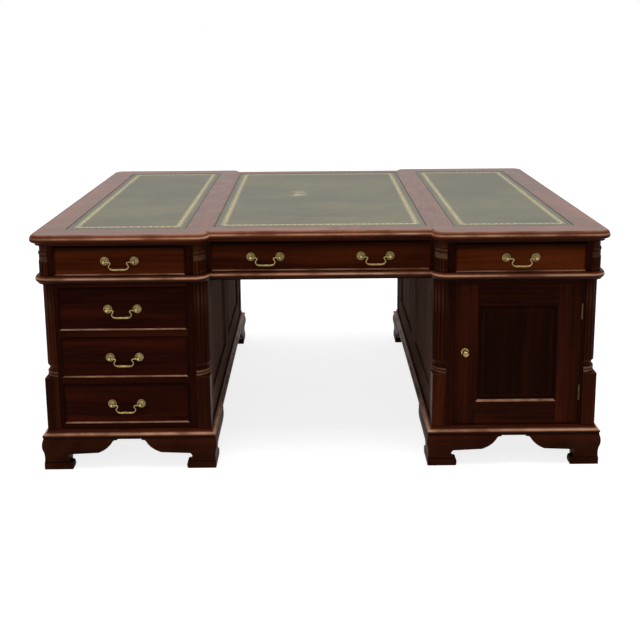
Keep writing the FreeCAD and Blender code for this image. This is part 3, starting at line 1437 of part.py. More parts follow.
def front_nodes():
    """Every moving node of the front face as name: solids."""
    nodes = {}
    for name, (x0, x1, z0, z1, face_y, back_y, handle_xs) in front_drawers().items():
        handle_z = (z0 + z1) / 2.0
        nodes[name] = drawer(x0, x1, z0, z1, face_y, back_y, handle_xs)
        nodes[name + "_roses"] = roses(handle_xs, handle_z, face_y)
        for bail_name, x in zip(bail_names(name, len(handle_xs)), handle_xs):
            nodes[bail_name] = [bail(x, handle_z, face_y)]
    nodes["door_frame"] = door_frame()
    nodes["door_panel"] = [door_panel()]
    nodes["door_knob"] = [door_knob()]
    nodes["door_hinge_leaves"] = door_leaves()
    return nodes


def fixed_nodes():
    """Every node of the carcase as name: solids."""
    case = pedestal_case()
    posts = pedestal_posts()
    panels = side_panel_boxes(PANEL_TONGUE)
    base = placed_on_sides(base_length)
    feet = placed_on_sides(foot_pair)
    shelf = [cupboard_shelf()]
    leaves = fixed_leaves()
    nodes = {
        "desk_top": desk_top(),
        "frieze_frame": frieze_frame(),
        "frieze_partitions": frieze_partitions(),
        "frieze_columns": frieze_columns(),
        "waist_moulding": moulding_lengths(*waist_outline(), waist_section(), WAIST_PROJECTION),
        "right_pedestal_case": case,
        "left_pedestal_case": half_turned(case),
        "pedestal_posts": posts + half_turned(posts),
        "pedestal_side_panels": panels + half_turned(panels),
        "base_mouldings": base + half_turned(base),
        "bracket_feet": feet + half_turned(feet),
        "cupboard_shelves": shelf + half_turned(shelf),
        "hinge_fixed_leaves": leaves + half_turned(leaves),
    }
    nodes["leather_insets"] = [leather(*span) for span in leather_spans().values()]
    return nodes


def main():
    """Write one STEP file for each node."""
    os.makedirs("parts", exist_ok=True)
    nodes = fixed_nodes()
    for name, solids in front_nodes().items():
        nodes["front_" + name] = solids
        nodes["rear_" + name] = half_turned(solids)
    for name, solids in nodes.items():
        shape = solids[0] if len(solids) == 1 else Part.makeCompound(solids)
        shape.exportStep("parts/" + name + ".step")
    print(len(nodes), "nodes")


if __name__ == "__main__":
    main()
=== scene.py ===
"""Dress of a leather-topped partners desk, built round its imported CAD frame.

Every piece is worked out in millimetres in the frame's own axes (+X right, +Y to the rear, +Z up) and
goes into Blender in metres. Pieces of the rear face are the front ones after half a turn about Z.
"""

import logging
import math
from dataclasses import dataclass, replace
from enum import Enum, IntEnum
from functools import cache

import bmesh
import bpy
import numpy as np
from mathutils import Matrix, Vector


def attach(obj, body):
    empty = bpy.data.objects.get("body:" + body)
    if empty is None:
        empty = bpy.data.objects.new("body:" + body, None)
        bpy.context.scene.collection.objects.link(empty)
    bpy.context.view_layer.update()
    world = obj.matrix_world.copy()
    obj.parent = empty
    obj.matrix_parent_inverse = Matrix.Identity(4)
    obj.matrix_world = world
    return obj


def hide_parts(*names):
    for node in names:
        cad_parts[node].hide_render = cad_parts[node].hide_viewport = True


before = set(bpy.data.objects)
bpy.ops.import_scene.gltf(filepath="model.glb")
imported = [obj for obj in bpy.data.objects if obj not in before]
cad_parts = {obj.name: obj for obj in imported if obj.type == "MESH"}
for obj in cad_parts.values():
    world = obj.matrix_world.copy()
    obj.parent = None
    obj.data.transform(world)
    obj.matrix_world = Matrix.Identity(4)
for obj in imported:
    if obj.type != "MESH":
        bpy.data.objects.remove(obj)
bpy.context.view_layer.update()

LOG = logging.getLogger("desk")
Array = np.ndarray
Socket = bpy.types.NodeSocket
MM = 0.001
QUARTER_TURN = 0.5 * math.pi
FULL_TURN = 2.0 * math.pi
SHARP_ANGLE = math.radians(50.0)
WELD = 1e-6
CARCASE = "carcase"
DESK_HEIGHT = 785.0
BREAK_DEPTH = 37.0
BLOCK_Y = 583.0
FACE_Y = 578.0
LOG_REACH = 40000.0
HAIR = 0.004
ARRIS_SHARE = 0.45
CORNERS = ((1, 1), (-1, 1), (1, -1), (-1, -1))
FRONT_FIRST = CORNERS[2:] + CORNERS[:2]
FACE_STEP = 100
DRAWER_STEP = 10


class Slot(Enum):
    """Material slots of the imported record."""

    MAHOGANY = "mahogany"
    LEATHER = "leather"
    BRASS = "brass"


class Grain(Enum):
    """The axis along which a board's fibres run."""

    X = 0
    Y = 1
    Z = 2


class Face(Enum):
    """The two working faces; the value is the sign of Y at that face."""

    FRONT = -1
    REAR = 1


class Log(IntEnum):
    """Logs that the boards are cut from; the value seeds the boards' places in the log."""

    TOP_EDGE = 11
    FRONT_BANDS = 21
    END_BANDS = 31
    CROSS_BANDS = 41
    FRIEZE_FLOOR = 51
    WAIST = 53
    FRIEZE_FRAME = 61
    PARTITIONS = 62
    FRIEZE_COLUMNS = 71
    RIGHT_PEDESTAL = 100
    LEFT_PEDESTAL = 200
    DRAWERS = 300
    DOORS = 380


@dataclass
class Surface:
    """A mesh being made.

    Attributes:
        points: (n, 3) places in millimetres.
        faces: Blocks of (m, k) point numbers.
        grain: (n, 3) wood coordinates in millimetres: along, across and through the board.
        wear: (n,) handling and painted light, from -1, grime in a quirk and painted shade, to 1, rubbing on
            an arris and painted highlights.
    """

    points: Array
    faces: list[Array]
    grain: Array
    wear: Array

    def moved(self, x: float, y: float, z: float) -> "Surface":
        """A shifted copy."""
        return replace(self, points=self.points + np.array([x, y, z]))

    def scaled(self, x: float, y: float, z: float) -> "Surface":
        """A copy with each coordinate times a sign; faces turn over where the signs mirror it."""
        faces = self.faces if x * y * z > 0 else [block[:, ::-1] for block in self.faces]
        return replace(self, points=self.points * np.array([x, y, z]), faces=faces)

    def half_turned(self) -> "Surface":
        """A copy after half a turn about Z."""
        return self.scaled(-1, -1, 1)

    def on_face(self, face: Face) -> "Surface":
        """The copy for a working face; pieces are made for the front."""
        return self if face is Face.FRONT else self.half_turned()

    def stood_up(self) -> "Surface":
        """A copy turned from plan to elevation: (x, y, z) goes to (x, -z, y)."""
        return replace(self, points=np.stack([self.points[:, 0], -self.points[:, 2], self.points[:, 1]], 1))

    def grained(self, axis: Grain, seed: int) -> "Surface":
        """A copy cut from one board whose fibres run along an axis.

        Args:
            axis: The axis of the fibres.
            seed: Picks the place in the log.

        Returns:
            The copy, with wood coordinates taken straight from its points.
        """
        order = [(axis.value + step) % 3 for step in range(3)]
        return replace(self, grain=self.points[:, order] + log_places(1, seed))


def joined(parts: list[Surface]) -> Surface:
    """One surface from several.

    Args:
        parts: The surfaces, in order.

    Returns:
        The surfaces side by side in one mesh.
    """
    starts = np.cumsum([0] + [len(part.points) for part in parts])
    faces = [block + start for part, start in zip(parts, starts) for block in part.faces]
    return Surface(
        np.concatenate([part.points for part in parts]),
        faces,
        np.concatenate([part.grain for part in parts]),
        np.concatenate([part.wear for part in parts]),
    )


def log_places(count: int, seed: int) -> Array:
    """Random places in a log, so that no two boards show the same figure.

    Args:
        count: How many boards.
        seed: Seed of the draw.

    Returns:
        (count, 3) offsets in millimetres.
    """
    return np.random.default_rng(seed).uniform(-LOG_REACH, LOG_REACH, (count, 3))


def arc(start: tuple, via: tuple, end: tuple, steps: int = 9) -> Array:
    """Points of the circle through three points.

    The centre is where the two chords' perpendicular bisectors meet; the angle then runs evenly from the
    first point to the last, on the side of the middle one.

    Args:
        start: First point (a, b).
        via: A point between.
        end: Last point.
        steps: How many points.

    Returns:
        (steps, 2) points.
    """
    first, middle, last = (np.array(p, float) for p in (start, via, end))
    chords = 2.0 * np.stack([middle - first, last - first])
    squares = np.array([middle @ middle - first @ first, last @ last - first @ first])
    centre = np.linalg.solve(chords, squares)
    angles = [math.atan2(*(p - centre)[::-1]) for p in (first, middle, last)]
    ahead = (angles[2] - angles[0]) % FULL_TURN
    sweep = ahead if (angles[1] - angles[0]) % FULL_TURN < ahead else ahead - FULL_TURN
    turn = angles[0] + sweep * np.linspace(0.0, 1.0, steps)
    return centre + np.linalg.norm(first - centre) * np.stack([np.cos(turn), np.sin(turn)], 1)


def upright_arc(tip: tuple, end: tuple, steps: int = 9) -> Array:
    """Points of a circle that is upright at its tip.

    The centre is level with the tip, so the radius is the chord's square over twice its level run. The
    middle point lies on the ray that halves the angle between the two ends.

    Args:
        tip: First point (a, b), where the arc is upright.
        end: Last point.
        steps: How many points.

    Returns:
        (steps, 2) points.
    """
    first, last = np.array(tip, float), np.array(end, float)
    chord = last - first
    radius = chord @ chord / (2.0 * chord[0])
    centre = first + np.array([radius, 0.0])
    ray = first + last - 2.0 * centre
    return arc(tip, tuple(centre + abs(radius) * ray / np.linalg.norm(ray)), end, steps)


def profile_of(*runs: object) -> Array:
    """One profile from points and runs of points.

    Args:
        runs: Single (a, b) points or (n, 2) arrays.

    Returns:
        (k, 2) points.
    """
    return np.concatenate([np.atleast_2d(np.array(run, float)) for run in runs])


def raised(plan: Array, height: Array | float) -> Array:
    """Plan points set at their heights.

    Args:
        plan: (n, k, 2) points.
        height: Heights that spread to (n, k).

    Returns:
        (n, k, 3) points.
    """
    return np.concatenate([plan, np.broadcast_to(height, plan.shape[:2])[..., None]], 2)


def run_lengths(line: Array) -> Array:
    """Distance of each point from the first, measured along the line.

    Args:
        line: (n, d) points.

    Returns:
        (n,) distances.
    """
    return np.concatenate([[0.0], np.cumsum(np.linalg.norm(np.diff(line, axis=0), axis=1))])


def handling(profile: Array) -> Array:
    """Handling round a closed profile.

    It is the signed turn at each point, eased with its neighbours': outward corners get rubbing, inward ones
    grime.

    Args:
        profile: (k, 2) points of the closed profile.

    Returns:
        (k,) wear from -1 to 1.
    """
    into = profile - np.roll(profile, 1, 0)
    away = np.roll(profile, -1, 0) - profile
    turn = np.arctan2(into[:, 0] * away[:, 1] - into[:, 1] * away[:, 0], (into * away).sum(1))
    following = np.roll(profile, -1, 0)
    area = (profile[:, 0] * following[:, 1] - profile[:, 1] * following[:, 0]).sum()
    fullest = math.pi / 3.0
    own, beside = 0.6, 0.2
    sharp = np.clip(np.sign(area) * turn / fullest, -1.0, 1.0)
    return own * sharp + beside * np.roll(sharp, 1) + beside * np.roll(sharp, -1)


def roll_highlight_and_shade(profile: Array, crown: float, spread: float) -> Array:
    """Painted light of a moulded roll: a bell of painted highlight round its crown, and painted shade that
    builds up below it.

    Args:
        profile: (k, 2) reach and height.
        crown: Height of the crown.
        spread: Half width of the painted highlight.

    Returns:
        (k,) values from -1, full painted shade, to 1, full painted highlight.
    """
    unshaded, most = 2.5, 0.8
    above = (profile[:, 1] - crown) / spread
    return np.exp(-(above**2)) - np.clip((-above - unshaded) / unshaded, 0.0, most)


def netted(points: Array, grain: Array, wear: Array, caps: bool) -> Surface:
    """A grid of rows whose last column joins the first.

    Args:
        points: (n, k, 3) grid.
        grain: (n, k, 3) wood coordinates.
        wear: (n, k) handling and painted light.
        caps: Whether the first and last rows are closed with a face.

    Returns:
        The tube-like surface.
    """
    rows, columns = points.shape[:2]
    number = np.arange(rows * columns).reshape(rows, columns)
    wrapped = np.concatenate([number, number[:, :1]], 1)
    quads = np.stack([wrapped[:-1, :-1], wrapped[:-1, 1:], wrapped[1:, 1:], wrapped[1:, :-1]], -1)
    faces = [quads.reshape(-1, 4)]
    if caps:
        faces += [number[:1, ::-1], number[-1:]]
    return Surface(points.reshape(-1, 3), faces, grain.reshape(-1, 3), wear.reshape(-1))


def swept(
    path: Array, outward: Array, profile: Array, seed: int, closed: bool = True, worn_and_lit: Array | None = None
) -> Surface:
    """A closed profile carried along a path in plan.

    Point (i, j) is path point i plus its outward vector times the profile's reach j, at the profile's
    height j. At a mitre the outward vector is longer, so that both runs keep their reach.

    Args:
        path: (n, 2) plan points.
        outward: (n, 2) outward vectors.
        profile: (k, 2) reach and height.
        seed: Picks the place in the log.
        closed: Whether the path comes back to its start.
        worn_and_lit: (k,) handling and painted light round the profile; its corners decide if left out.

    Returns:
        The moulding.
    """
    if closed:
        path = np.concatenate([path, path[:1]])
        outward = np.concatenate([outward, outward[:1]])
    plan = path[:, None] + outward[:, None] * profile[None, :, :1]
    points = raised(plan, profile[None, :, 1])
    along, girth = run_lengths(path)[:, None], run_lengths(profile)[None]
    grain = np.stack(np.broadcast_arrays(along, girth, 0.0), -1)
    wear = np.broadcast_to(handling(profile) if worn_and_lit is None else worn_and_lit, plan.shape[:2])
    return netted(points, grain + log_places(1, seed), wear, not closed)


def oblong(x0: float, x1: float, y0: float, y1: float) -> tuple[Array, Array]:
    """A rectangle's corners and their mitre vectors.

    Args:
        x0: Low X.
        x1: High X.
        y0: Low Y.
        y1: High Y.

    Returns:
        (4, 2) corners and (4, 2) outward vectors.
    """
    outward = np.array([[-1.0, -1.0], [1.0, -1.0], [1.0, 1.0], [-1.0, 1.0]])
    low, high = np.array([x0, y0]), np.array([x1, y1])
    return np.where(outward < 0, low, high), outward


def framed(limits: tuple, profile: Array, face_y: float, seed: int) -> list[Surface]:
    """A small moulding round an upright oblong, with a painted highlight along its sill and painted shade on
    the other three lengths.

    Args:
        limits: The oblong's left, right, bottom and top.
        profile: (k, 2) reach, and height above the face.
        face_y: Distance of the front face from the desk's middle.
        seed: Picks the places in the log.

    Returns:
        The sill and the other three lengths, with mitred corners.
    """
    root, rubbed, painted_shade = 1.0, 0.8, -0.5
    path, outward = oblong(*limits)
    around = np.array([1, 2, 3, 0])
    proud = np.where(profile[:, 1] > profile[:, 1].min() + root, 1.0, 0.0)
    sill = swept(path[:2], outward[:2], profile, seed, False, rubbed * proud)
    rest = swept(path[around], outward[around], profile, seed + 1, False, painted_shade * proud)
    return [run.stood_up().moved(0.0, -face_y, 0.0) for run in (sill, rest)]


def quarter_plan(
    half_length: float, half_depth: float, return_x: float, corner: float, bend: float, steps: int
) -> tuple[Array, Array]:
    """A quarter of the desk's plan: straight runs, a quarter circle at the break and one at the end.

    Args:
        half_length: Half the length.
        half_depth: Half the depth at the ends.
        return_x: X of the return beside the set-back middle.
        corner: Radius of the outer corners.
        bend: Radius where the front turns back to the middle.
        steps: Points per quarter circle.

    Returns:
        (n, 2) points from the middle of the front to the middle of the right end, and their outward
        vectors.
    """
    middle_y = half_depth - BREAK_DEPTH
    turn = np.linspace(0.0, QUARTER_TURN, steps)
    bend_out = np.stack([-np.cos(turn), -np.sin(turn)], 1)
    corner_out = np.stack([np.sin(turn), -np.cos(turn)], 1)
    quarter = profile_of(
        (0.0, -middle_y),
        (return_x, -middle_y),
        np.array([return_x + bend, bend - half_depth]) + bend * bend_out,
        np.array([half_length - corner, corner - half_depth]) + corner * corner_out,
        (half_length, 0.0),
    )
    return quarter, profile_of((0.0, -1.0), (-1.0, -1.0), bend_out, corner_out, (1.0, 0.0))


def breakfront(quarter: Array) -> Array:
    """The whole of the desk's plan, from a quarter mirrored front to back and then end to end.

    Args:
        quarter: (n, 2) points or outward vectors of a quarter.

    Returns:
        (4n - 4, 2) points or vectors, round the plan from the middle of the front.
    """
    half = np.concatenate([quarter, (quarter[::-1] * (1.0, -1.0))[1:]])
    return np.concatenate([half, (half[::-1] * (-1.0, 1.0))[1:-1]])


def lathe(profile: Array, sides: int = 40) -> Surface:
    """A turned piece: each profile point (radius, height) goes once round Z.

    Args:
        profile: (k, 2) radius and height.
        sides: Points round.

    Returns:
        The turned surface; points at radius 0 are merged when the piece is fitted.
    """
    turn = np.linspace(0.0, FULL_TURN, sides, endpoint=False)
    plan = profile[:, None, :1] * np.stack([np.cos(turn), np.sin(turn)], 1)[None]
    points = raised(plan, profile[:, None, 1])
    wear = np.broadcast_to(handling(profile)[:, None], plan.shape[:2])
    return netted(points, points, wear, False)


def rod(path: Array, radius: Array, sides: int = 14) -> Surface:
    """A round rod along a path in the XZ plane: a circle across each point's tangent, with its own radius.

    Args:
        path: (n, 3) points at constant Y.
        radius: (n,) radii.
        sides: Points round.

    Returns:
        The rod, closed at both ends.
    """
    tangent = np.gradient(path, axis=0)
    tangent /= np.linalg.norm(tangent, axis=1, keepdims=True)
    flat = np.stack([-tangent[:, 2], np.zeros(len(path)), tangent[:, 0]], 1)
    turn = np.linspace(0.0, FULL_TURN, sides, endpoint=False)[None, :, None]
    depth = np.array([0.0, 1.0, 0.0])
    points = path[:, None] + radius[:, None, None] * (np.cos(turn) * flat[:, None] + np.sin(turn) * depth)
    return netted(points, points, np.zeros(points.shape[:2]), True)


def board_pattern() -> tuple[Array, Array, Array]:
    """The net of a board with rounded arrises.

    Each side of the board is a grid of 4 by 4 points. The outer ones lean over at 45 degrees and are shared
    with the next side, so an arris is rounded in two facets.

    Returns:
        (56, 3) signs of the corner that each point belongs to, (56, 3) directions of its rounding, and
        (54, 4) quads.
    """
    size = 4
    count = size * size
    sign = np.array([-1.0, -1.0, 1.0, 1.0])
    lean = np.array([-1.0, 0.0, 0.0, 1.0])
    first, second = (index.ravel() for index in np.meshgrid(range(size), range(size), indexing="ij"))
    number = np.arange(count).reshape(size, size)
    quad = np.stack([number[:-1, :-1], number[1:, :-1], number[1:, 1:], number[:-1, 1:]], -1).reshape(-1, 4)
    corners, directions, quads = [], [], []
    for axis in range(3):
        for side in (-1.0, 1.0):
            corner = np.zeros((count, 3))
            direction = np.zeros((count, 3))
            corner[:, axis] = direction[:, axis] = side
            corner[:, (axis + 1) % 3] = sign[first]
            corner[:, (axis + 2) % 3] = sign[second]
            direction[:, (axis + 1) % 3] = lean[first]
            direction[:, (axis + 2) % 3] = lean[second]
            corners.append(corner)
            directions.append(direction / np.linalg.norm(direction, axis=1, keepdims=True))
            quads.append((quad if side > 0 else quad[:, ::-1]) + count * len(quads))
    both = np.concatenate([np.concatenate(corners), np.concatenate(directions)], 1)
    _, kept, place = np.unique(np.round(both, 4), axis=0, return_index=True, return_inverse=True)
    return both[kept, :3], both[kept, 3:], place.ravel()[np.concatenate(quads)]


def boards(boxes: list[tuple], grain: list[Grain], seed: int, rounding: float = 0.9) -> Surface:
    """Boards with softly rounded arrises.

    A point is the board's middle, plus its corner signs times the half size less the rounding, plus the
    rounding times its direction. Each board is a hair smaller than the one before, so that boards that
    touch keep their own points.

    Args:
        boxes: (x0, x1, y0, y1, z0, z1) of each board.
        grain: The fibres' axis of each board.
        seed: Picks the places in the log.
        rounding: Radius of the arrises.

    Returns:
        All the boards in one surface.
    """
    corners, directions, quads = board_pattern()
    limits = np.sort(np.array(boxes, float).reshape(-1, 3, 2), axis=2)
    middle = limits.mean(2)
    drawn_in = HAIR * np.arange(1, len(boxes) + 1)
    half = (limits[:, :, 1] - limits[:, :, 0]) / 2.0 - drawn_in[:, None]
    radius = np.minimum(rounding, ARRIS_SHARE * half.min(1))[:, None, None]
    local = corners * (half[:, None] - radius) + directions * radius
    axis = np.array([choice.value for choice in grain])
    order = (axis[:, None] + np.arange(3)) % 3
    turned = np.take_along_axis(local, np.broadcast_to(order[:, None], local.shape), 2)
    turned = turned + log_places(len(boxes), seed)[:, None]
    flat = np.isclose(np.abs(directions).max(1), 1.0)
    wear = np.broadcast_to(np.where(flat, 0.0, 1.0), local.shape[:2])
    faces = quads[None] + (np.arange(len(boxes)) * len(corners))[:, None, None]
    points = (middle[:, None] + local).reshape(-1, 3)
    return Surface(points, [faces.reshape(-1, 4)], turned.reshape(-1, 3), wear.reshape(-1))


class Bench:
    """Lays out the nodes of one tree."""

    def __init__(self, tree: bpy.types.NodeTree) -> None:
        """Takes a node tree to work on."""
        self.tree = tree

    def node(self, kind: str, inputs: dict | None = None, **settings: object) -> bpy.types.Node:
        """Adds a node.

        Args:
            kind: Blender's name of the node type.
            inputs: Input names or numbers, with a socket to join or a value to set.
            settings: Properties of the node.

        Returns:
            The node.
        """
        made = self.tree.nodes.new(kind)
        for key, value in settings.items():
            setattr(made, key, value)
        for key, value in (inputs or {}).items():
            self.feed(made.inputs[key], value)
        return made

    def feed(self, socket: Socket, value: object) -> None:
        """Joins a socket to an input, or sets the input's value."""
        if isinstance(value, Socket):
            self.tree.links.new(value, socket)
        else:
            socket.default_value = value

    def calc(self, operation: str, *values: object, clamp: bool = False) -> Socket:
        """The result of a Math node on sockets or numbers."""
        made = self.node("ShaderNodeMath", dict(enumerate(values)), operation=operation, use_clamp=clamp)
        return made.outputs[0]

    def band(self, value: object, low: float, high: float, start: float = 0.0, end: float = 1.0) -> Socket:
        """A value carried smoothly from one range to another, held at the ends."""
        inputs = {0: value, 1: low, 2: high, 3: start, 4: end}
        return self.node("ShaderNodeMapRange", inputs, interpolation_type="SMOOTHSTEP").outputs[0]

    def mixed(self, factor: object, first: object, second: object, blend: str = "MIX") -> Socket:
        """Two colours mixed by a factor."""
        inputs = {0: factor, 6: first, 7: second}
        return self.node("ShaderNodeMix", inputs, data_type="RGBA", blend_type=blend).outputs[2]

    def stretched(self, vector: object, scale: tuple, shift: tuple = (0.0, 0.0, 0.0)) -> Socket:
        """A vector with each part scaled and then shifted."""
        inputs = {"Vector": vector, "Scale": scale, "Location": shift}
        return self.node("ShaderNodeMapping", inputs).outputs[0]

    def noise(self, vector: object, scale: float, detail: float = 3.0, rough: float = 0.55) -> Socket:
        """Noise from 0 to 1 at a vector."""
        inputs = {"Vector": vector, "Scale": scale, "Detail": detail, "Roughness": rough}
        return self.node("ShaderNodeTexNoise", inputs).outputs["Fac"]

    def attribute(self, name: str, output: str) -> Socket:
        """A point attribute of the piece."""
        return self.node("ShaderNodeAttribute", attribute_name=name).outputs[output]

    def place(self, kind: str = "Object") -> Socket:
        """Where a point lies, in the piece's own coordinates or those of another kind."""
        return self.node("ShaderNodeTexCoord").outputs[kind]

    def split(self, vector: object) -> bpy.types.bpy_prop_collection:
        """The three parts of a vector."""
        return self.node("ShaderNodeSeparateXYZ", {0: vector}).outputs

    def distance(self, vector: object) -> Socket:
        """The length of a vector."""
        return self.node("ShaderNodeVectorMath", {0: vector}, operation="LENGTH").outputs["Value"]

    def negative(self, value: object) -> Socket:
        """How far a value lies below 0."""
        return self.calc("MAXIMUM", self.calc("MULTIPLY", value, -1.0), 0.0)

    def effect(self, tree: bpy.types.NodeTree, inputs: dict) -> bpy.types.bpy_prop_collection:
        """The outputs of a shared effect that is given these inputs."""
        return self.node("ShaderNodeGroup", inputs, node_tree=tree).outputs

    def dress(
        self,
        shader: bpy.types.Node,
        colour: Socket,
        rough: Socket,
        height: Socket,
        strength: float,
        depth: float,
    ) -> None:
        """Feeds a shader.

        Args:
            shader: The Principled shader.
            colour: Its colour.
            rough: Its roughness.
            height: Its relief.
            strength: How much of the relief is felt.
            depth: Depth of the relief in millimetres.
        """
        bump = self.node("ShaderNodeBump", {"Height": height, "Strength": strength, "Distance": depth * MM})
        self.feed(shader.inputs["Base Color"], colour)
        self.feed(shader.inputs["Roughness"], rough)
        self.feed(shader.inputs["Normal"], bump.outputs[0])


def tint(code: str) -> tuple:
    """A linear colour from a six-figure code.

    Args:
        code: Red, green and blue as written for a screen.

    Returns:
        Linear red, green, blue and alpha.
    """
    screen = np.array([int(code[start:start + 2], 16) for start in (0, 2, 4)]) / 255.0
    linear = np.where(screen <= 0.04045, screen / 12.92, ((screen + 0.055) / 1.055) ** 2.4)
    return (*linear.tolist(), 1.0)


class Kind(Enum):
    """Socket types of the shared effects."""

    COLOUR = "NodeSocketColor"
    NUMBER = "NodeSocketFloat"
    VECTOR = "NodeSocketVector"


class Effects:
    """Node groups that the finishes share, each built once."""

    @staticmethod
    def group(name: str, inputs: dict[str, Kind], outputs: dict[str, Kind]) -> tuple:
        """Starts a node group.

        Args:
            name: The group's name.
            inputs: Kinds of the inputs by name.
            outputs: Kinds of the outputs by name.

        Returns:
            Its bench, what it is given and what it puts out.
        """
        tree = bpy.data.node_groups.new(name, "ShaderNodeTree")
        for way, sockets in (("INPUT", inputs), ("OUTPUT", outputs)):
            for key, kind in sockets.items():
                tree.interface.new_socket(name=key, in_out=way, socket_type=kind.value)
        bench = Bench(tree)
        return bench, bench.node("NodeGroupInput").outputs, bench.node("NodeGroupOutput").inputs

    @staticmethod
    @cache
    def figure() -> bpy.types.NodeTree:
        """Wood figure: long streaks, broad ribbons and short dark pores along the first coordinate.

        Returns:
            The group, from a wood coordinate in metres and three colours to a colour, a height and a gloss.
        """
        colour, number = Kind.COLOUR, Kind.NUMBER
        bench, source, result = Effects.group(
            "wood_figure",
            {"Vector": Kind.VECTOR, "Dark": colour, "Middle": colour, "Light": colour, "Pores": number},
            {"Color": colour, "Height": number, "Gloss": number},
        )
        wood = source["Vector"]
        sway = bench.noise(bench.stretched(wood, (1.6, 5.0, 5.0)), 1.0, 2.0)
        shift = bench.calc("MULTIPLY_ADD", sway, 0.05, -0.025)
        pushed = bench.node("ShaderNodeCombineXYZ", {"Y": shift, "Z": shift}).outputs[0]
        wavy = bench.node("ShaderNodeVectorMath", {0: wood, 1: pushed}, operation="ADD").outputs[0]
        streak = bench.noise(bench.stretched(wavy, (2.2, 120.0, 120.0)), 1.0, 5.0, 0.65)
        ribbon = bench.noise(bench.stretched(wavy, (1.3, 21.0, 21.0)), 1.0, 2.0)
        fleck = bench.noise(bench.stretched(wavy, (38.0, 950.0, 950.0)), 1.0, 2.0)
        pore = bench.calc("MULTIPLY", bench.band(fleck, 0.58, 0.72), source["Pores"])
        base = bench.mixed(bench.band(streak, 0.30, 0.72), source["Dark"], source["Middle"])
        lit = bench.mixed(bench.band(ribbon, 0.42, 0.78, 0.0, 0.8), base, source["Light"])
        tone = bench.band(bench.noise(wood, 0.35, 0.0), 0.3, 0.7, 0.72, 1.18)
        toned = bench.node("ShaderNodeHueSaturation", {"Color": lit, "Value": tone}).outputs[0]
        ridge = bench.calc("MULTIPLY", streak, 0.4)
        sheen = bench.calc("MULTIPLY", ribbon, 0.08)
        bench.feed(result["Color"], bench.mixed(pore, toned, source["Dark"], "MULTIPLY"))
        bench.feed(result["Height"], bench.calc("MULTIPLY_ADD", pore, -1.0, ridge))
        bench.feed(result["Gloss"], bench.calc("MULTIPLY_ADD", streak, 0.12, sheen))
        return bench.tree

    @staticmethod
    @cache
    def handled_and_lit() -> bpy.types.NodeTree:
        """Handling and painted light: patchy rubbing and painted highlights where the value is above 0,
        grime in quirks and painted shade where it is below.

        Returns:
            The group, from a colour, its colour of rubbing and painted highlight, its colour of grime and
            painted shade, and the value, to a colour.
        """
        colour = Kind.COLOUR
        bench, source, result = Effects.group(
            "handled_and_lit",
            {"Color": colour, "Rubbed": colour, "Dirt": colour, "Wear": Kind.NUMBER, "Vector": Kind.VECTOR},
            {"Color": colour},
        )
        patch = bench.band(bench.noise(source["Vector"], 9.0, 4.0), 0.32, 0.68, 0.25, 1.0)
        rub_and_light = bench.calc("MULTIPLY", bench.calc("MAXIMUM", source["Wear"], 0.0), patch, clamp=True)
        dirt = bench.calc("MULTIPLY", bench.negative(source["Wear"]), 0.85)
        rubbed = bench.mixed(rub_and_light, source["Color"], source["Rubbed"])
        bench.feed(result["Color"], bench.mixed(dirt, rubbed, source["Dirt"]))
        return bench.tree

    @staticmethod
    @cache
    def tooling() -> bpy.types.NodeTree:
        """Gilt border: two fillets with a waved stem and round leaves between, repeated along the border.

        Returns:
            The group, from (distance from the corner, distance from the edge) in metres to a gilt mask.
        """
        number = Kind.NUMBER
        bench, source, result = Effects.group(
            "gilt_border",
            {"Vector": Kind.VECTOR, "Start": number, "Width": number, "Pitch": number},
            {"Mask": number},
        )
        along, inward, _ = bench.split(source["Vector"])
        across = bench.calc("DIVIDE", bench.calc("SUBTRACT", inward, source["Start"]), source["Width"])
        cycle = bench.calc("FRACT", bench.calc("DIVIDE", along, source["Pitch"]))
        aspect = bench.calc("DIVIDE", source["Pitch"], source["Width"])
        wave = bench.calc("SINE", bench.calc("MULTIPLY", cycle, FULL_TURN))
        stem = bench.calc("MULTIPLY_ADD", wave, 0.17, 0.5)
        lines = ((stem, 0.07), (0.05, 0.04), (0.95, 0.04))
        leaves = ((0.25, 0.42, 0.30), (0.75, 0.58, 0.30), (0.02, 0.76, 0.10), (0.52, 0.24, 0.10))
        marks = [Effects.line(bench, across, at, reach) for at, reach in lines]
        for where, height, reach in leaves:
            sideways = bench.calc("MULTIPLY", bench.calc("SUBTRACT", cycle, where), aspect)
            marks.append(Effects.leaf(bench, sideways, bench.calc("SUBTRACT", across, height), reach))
        mask = marks[0]
        for more in marks[1:]:
            mask = bench.calc("MAXIMUM", mask, more)
        above, below = bench.calc("GREATER_THAN", across, 0.0), bench.calc("LESS_THAN", across, 1.0)
        bench.feed(result["Mask"], bench.calc("MULTIPLY", mask, bench.calc("MULTIPLY", above, below)))
        return bench.tree

    @staticmethod
    def line(bench: Bench, value: Socket, target: Socket | float, reach: float) -> Socket:
        """A soft line where a value comes within reach of its target."""
        gap = bench.calc("ABSOLUTE", bench.calc("SUBTRACT", value, target))
        return bench.band(gap, reach, reach * 0.6)

    @staticmethod
    def leaf(bench: Bench, sideways: Socket, upward: Socket, reach: float) -> Socket:
        """A soft disc, from the distances to its middle."""
        square = bench.calc("MULTIPLY_ADD", sideways, sideways, bench.calc("MULTIPLY", upward, upward))
        return bench.band(bench.calc("SQRT", square), reach, reach * 0.7)


def blank_material(name: str) -> tuple[bpy.types.Material, Bench, bpy.types.Node]:
    """A new material with its shader.

    Args:
        name: The material's name.

    Returns:
        The material, a bench on its nodes and its Principled shader.
    """
    material = bpy.data.materials.new(name)
    material.use_nodes = True
    bench = Bench(material.node_tree)
    return material, bench, material.node_tree.nodes["Principled BSDF"]


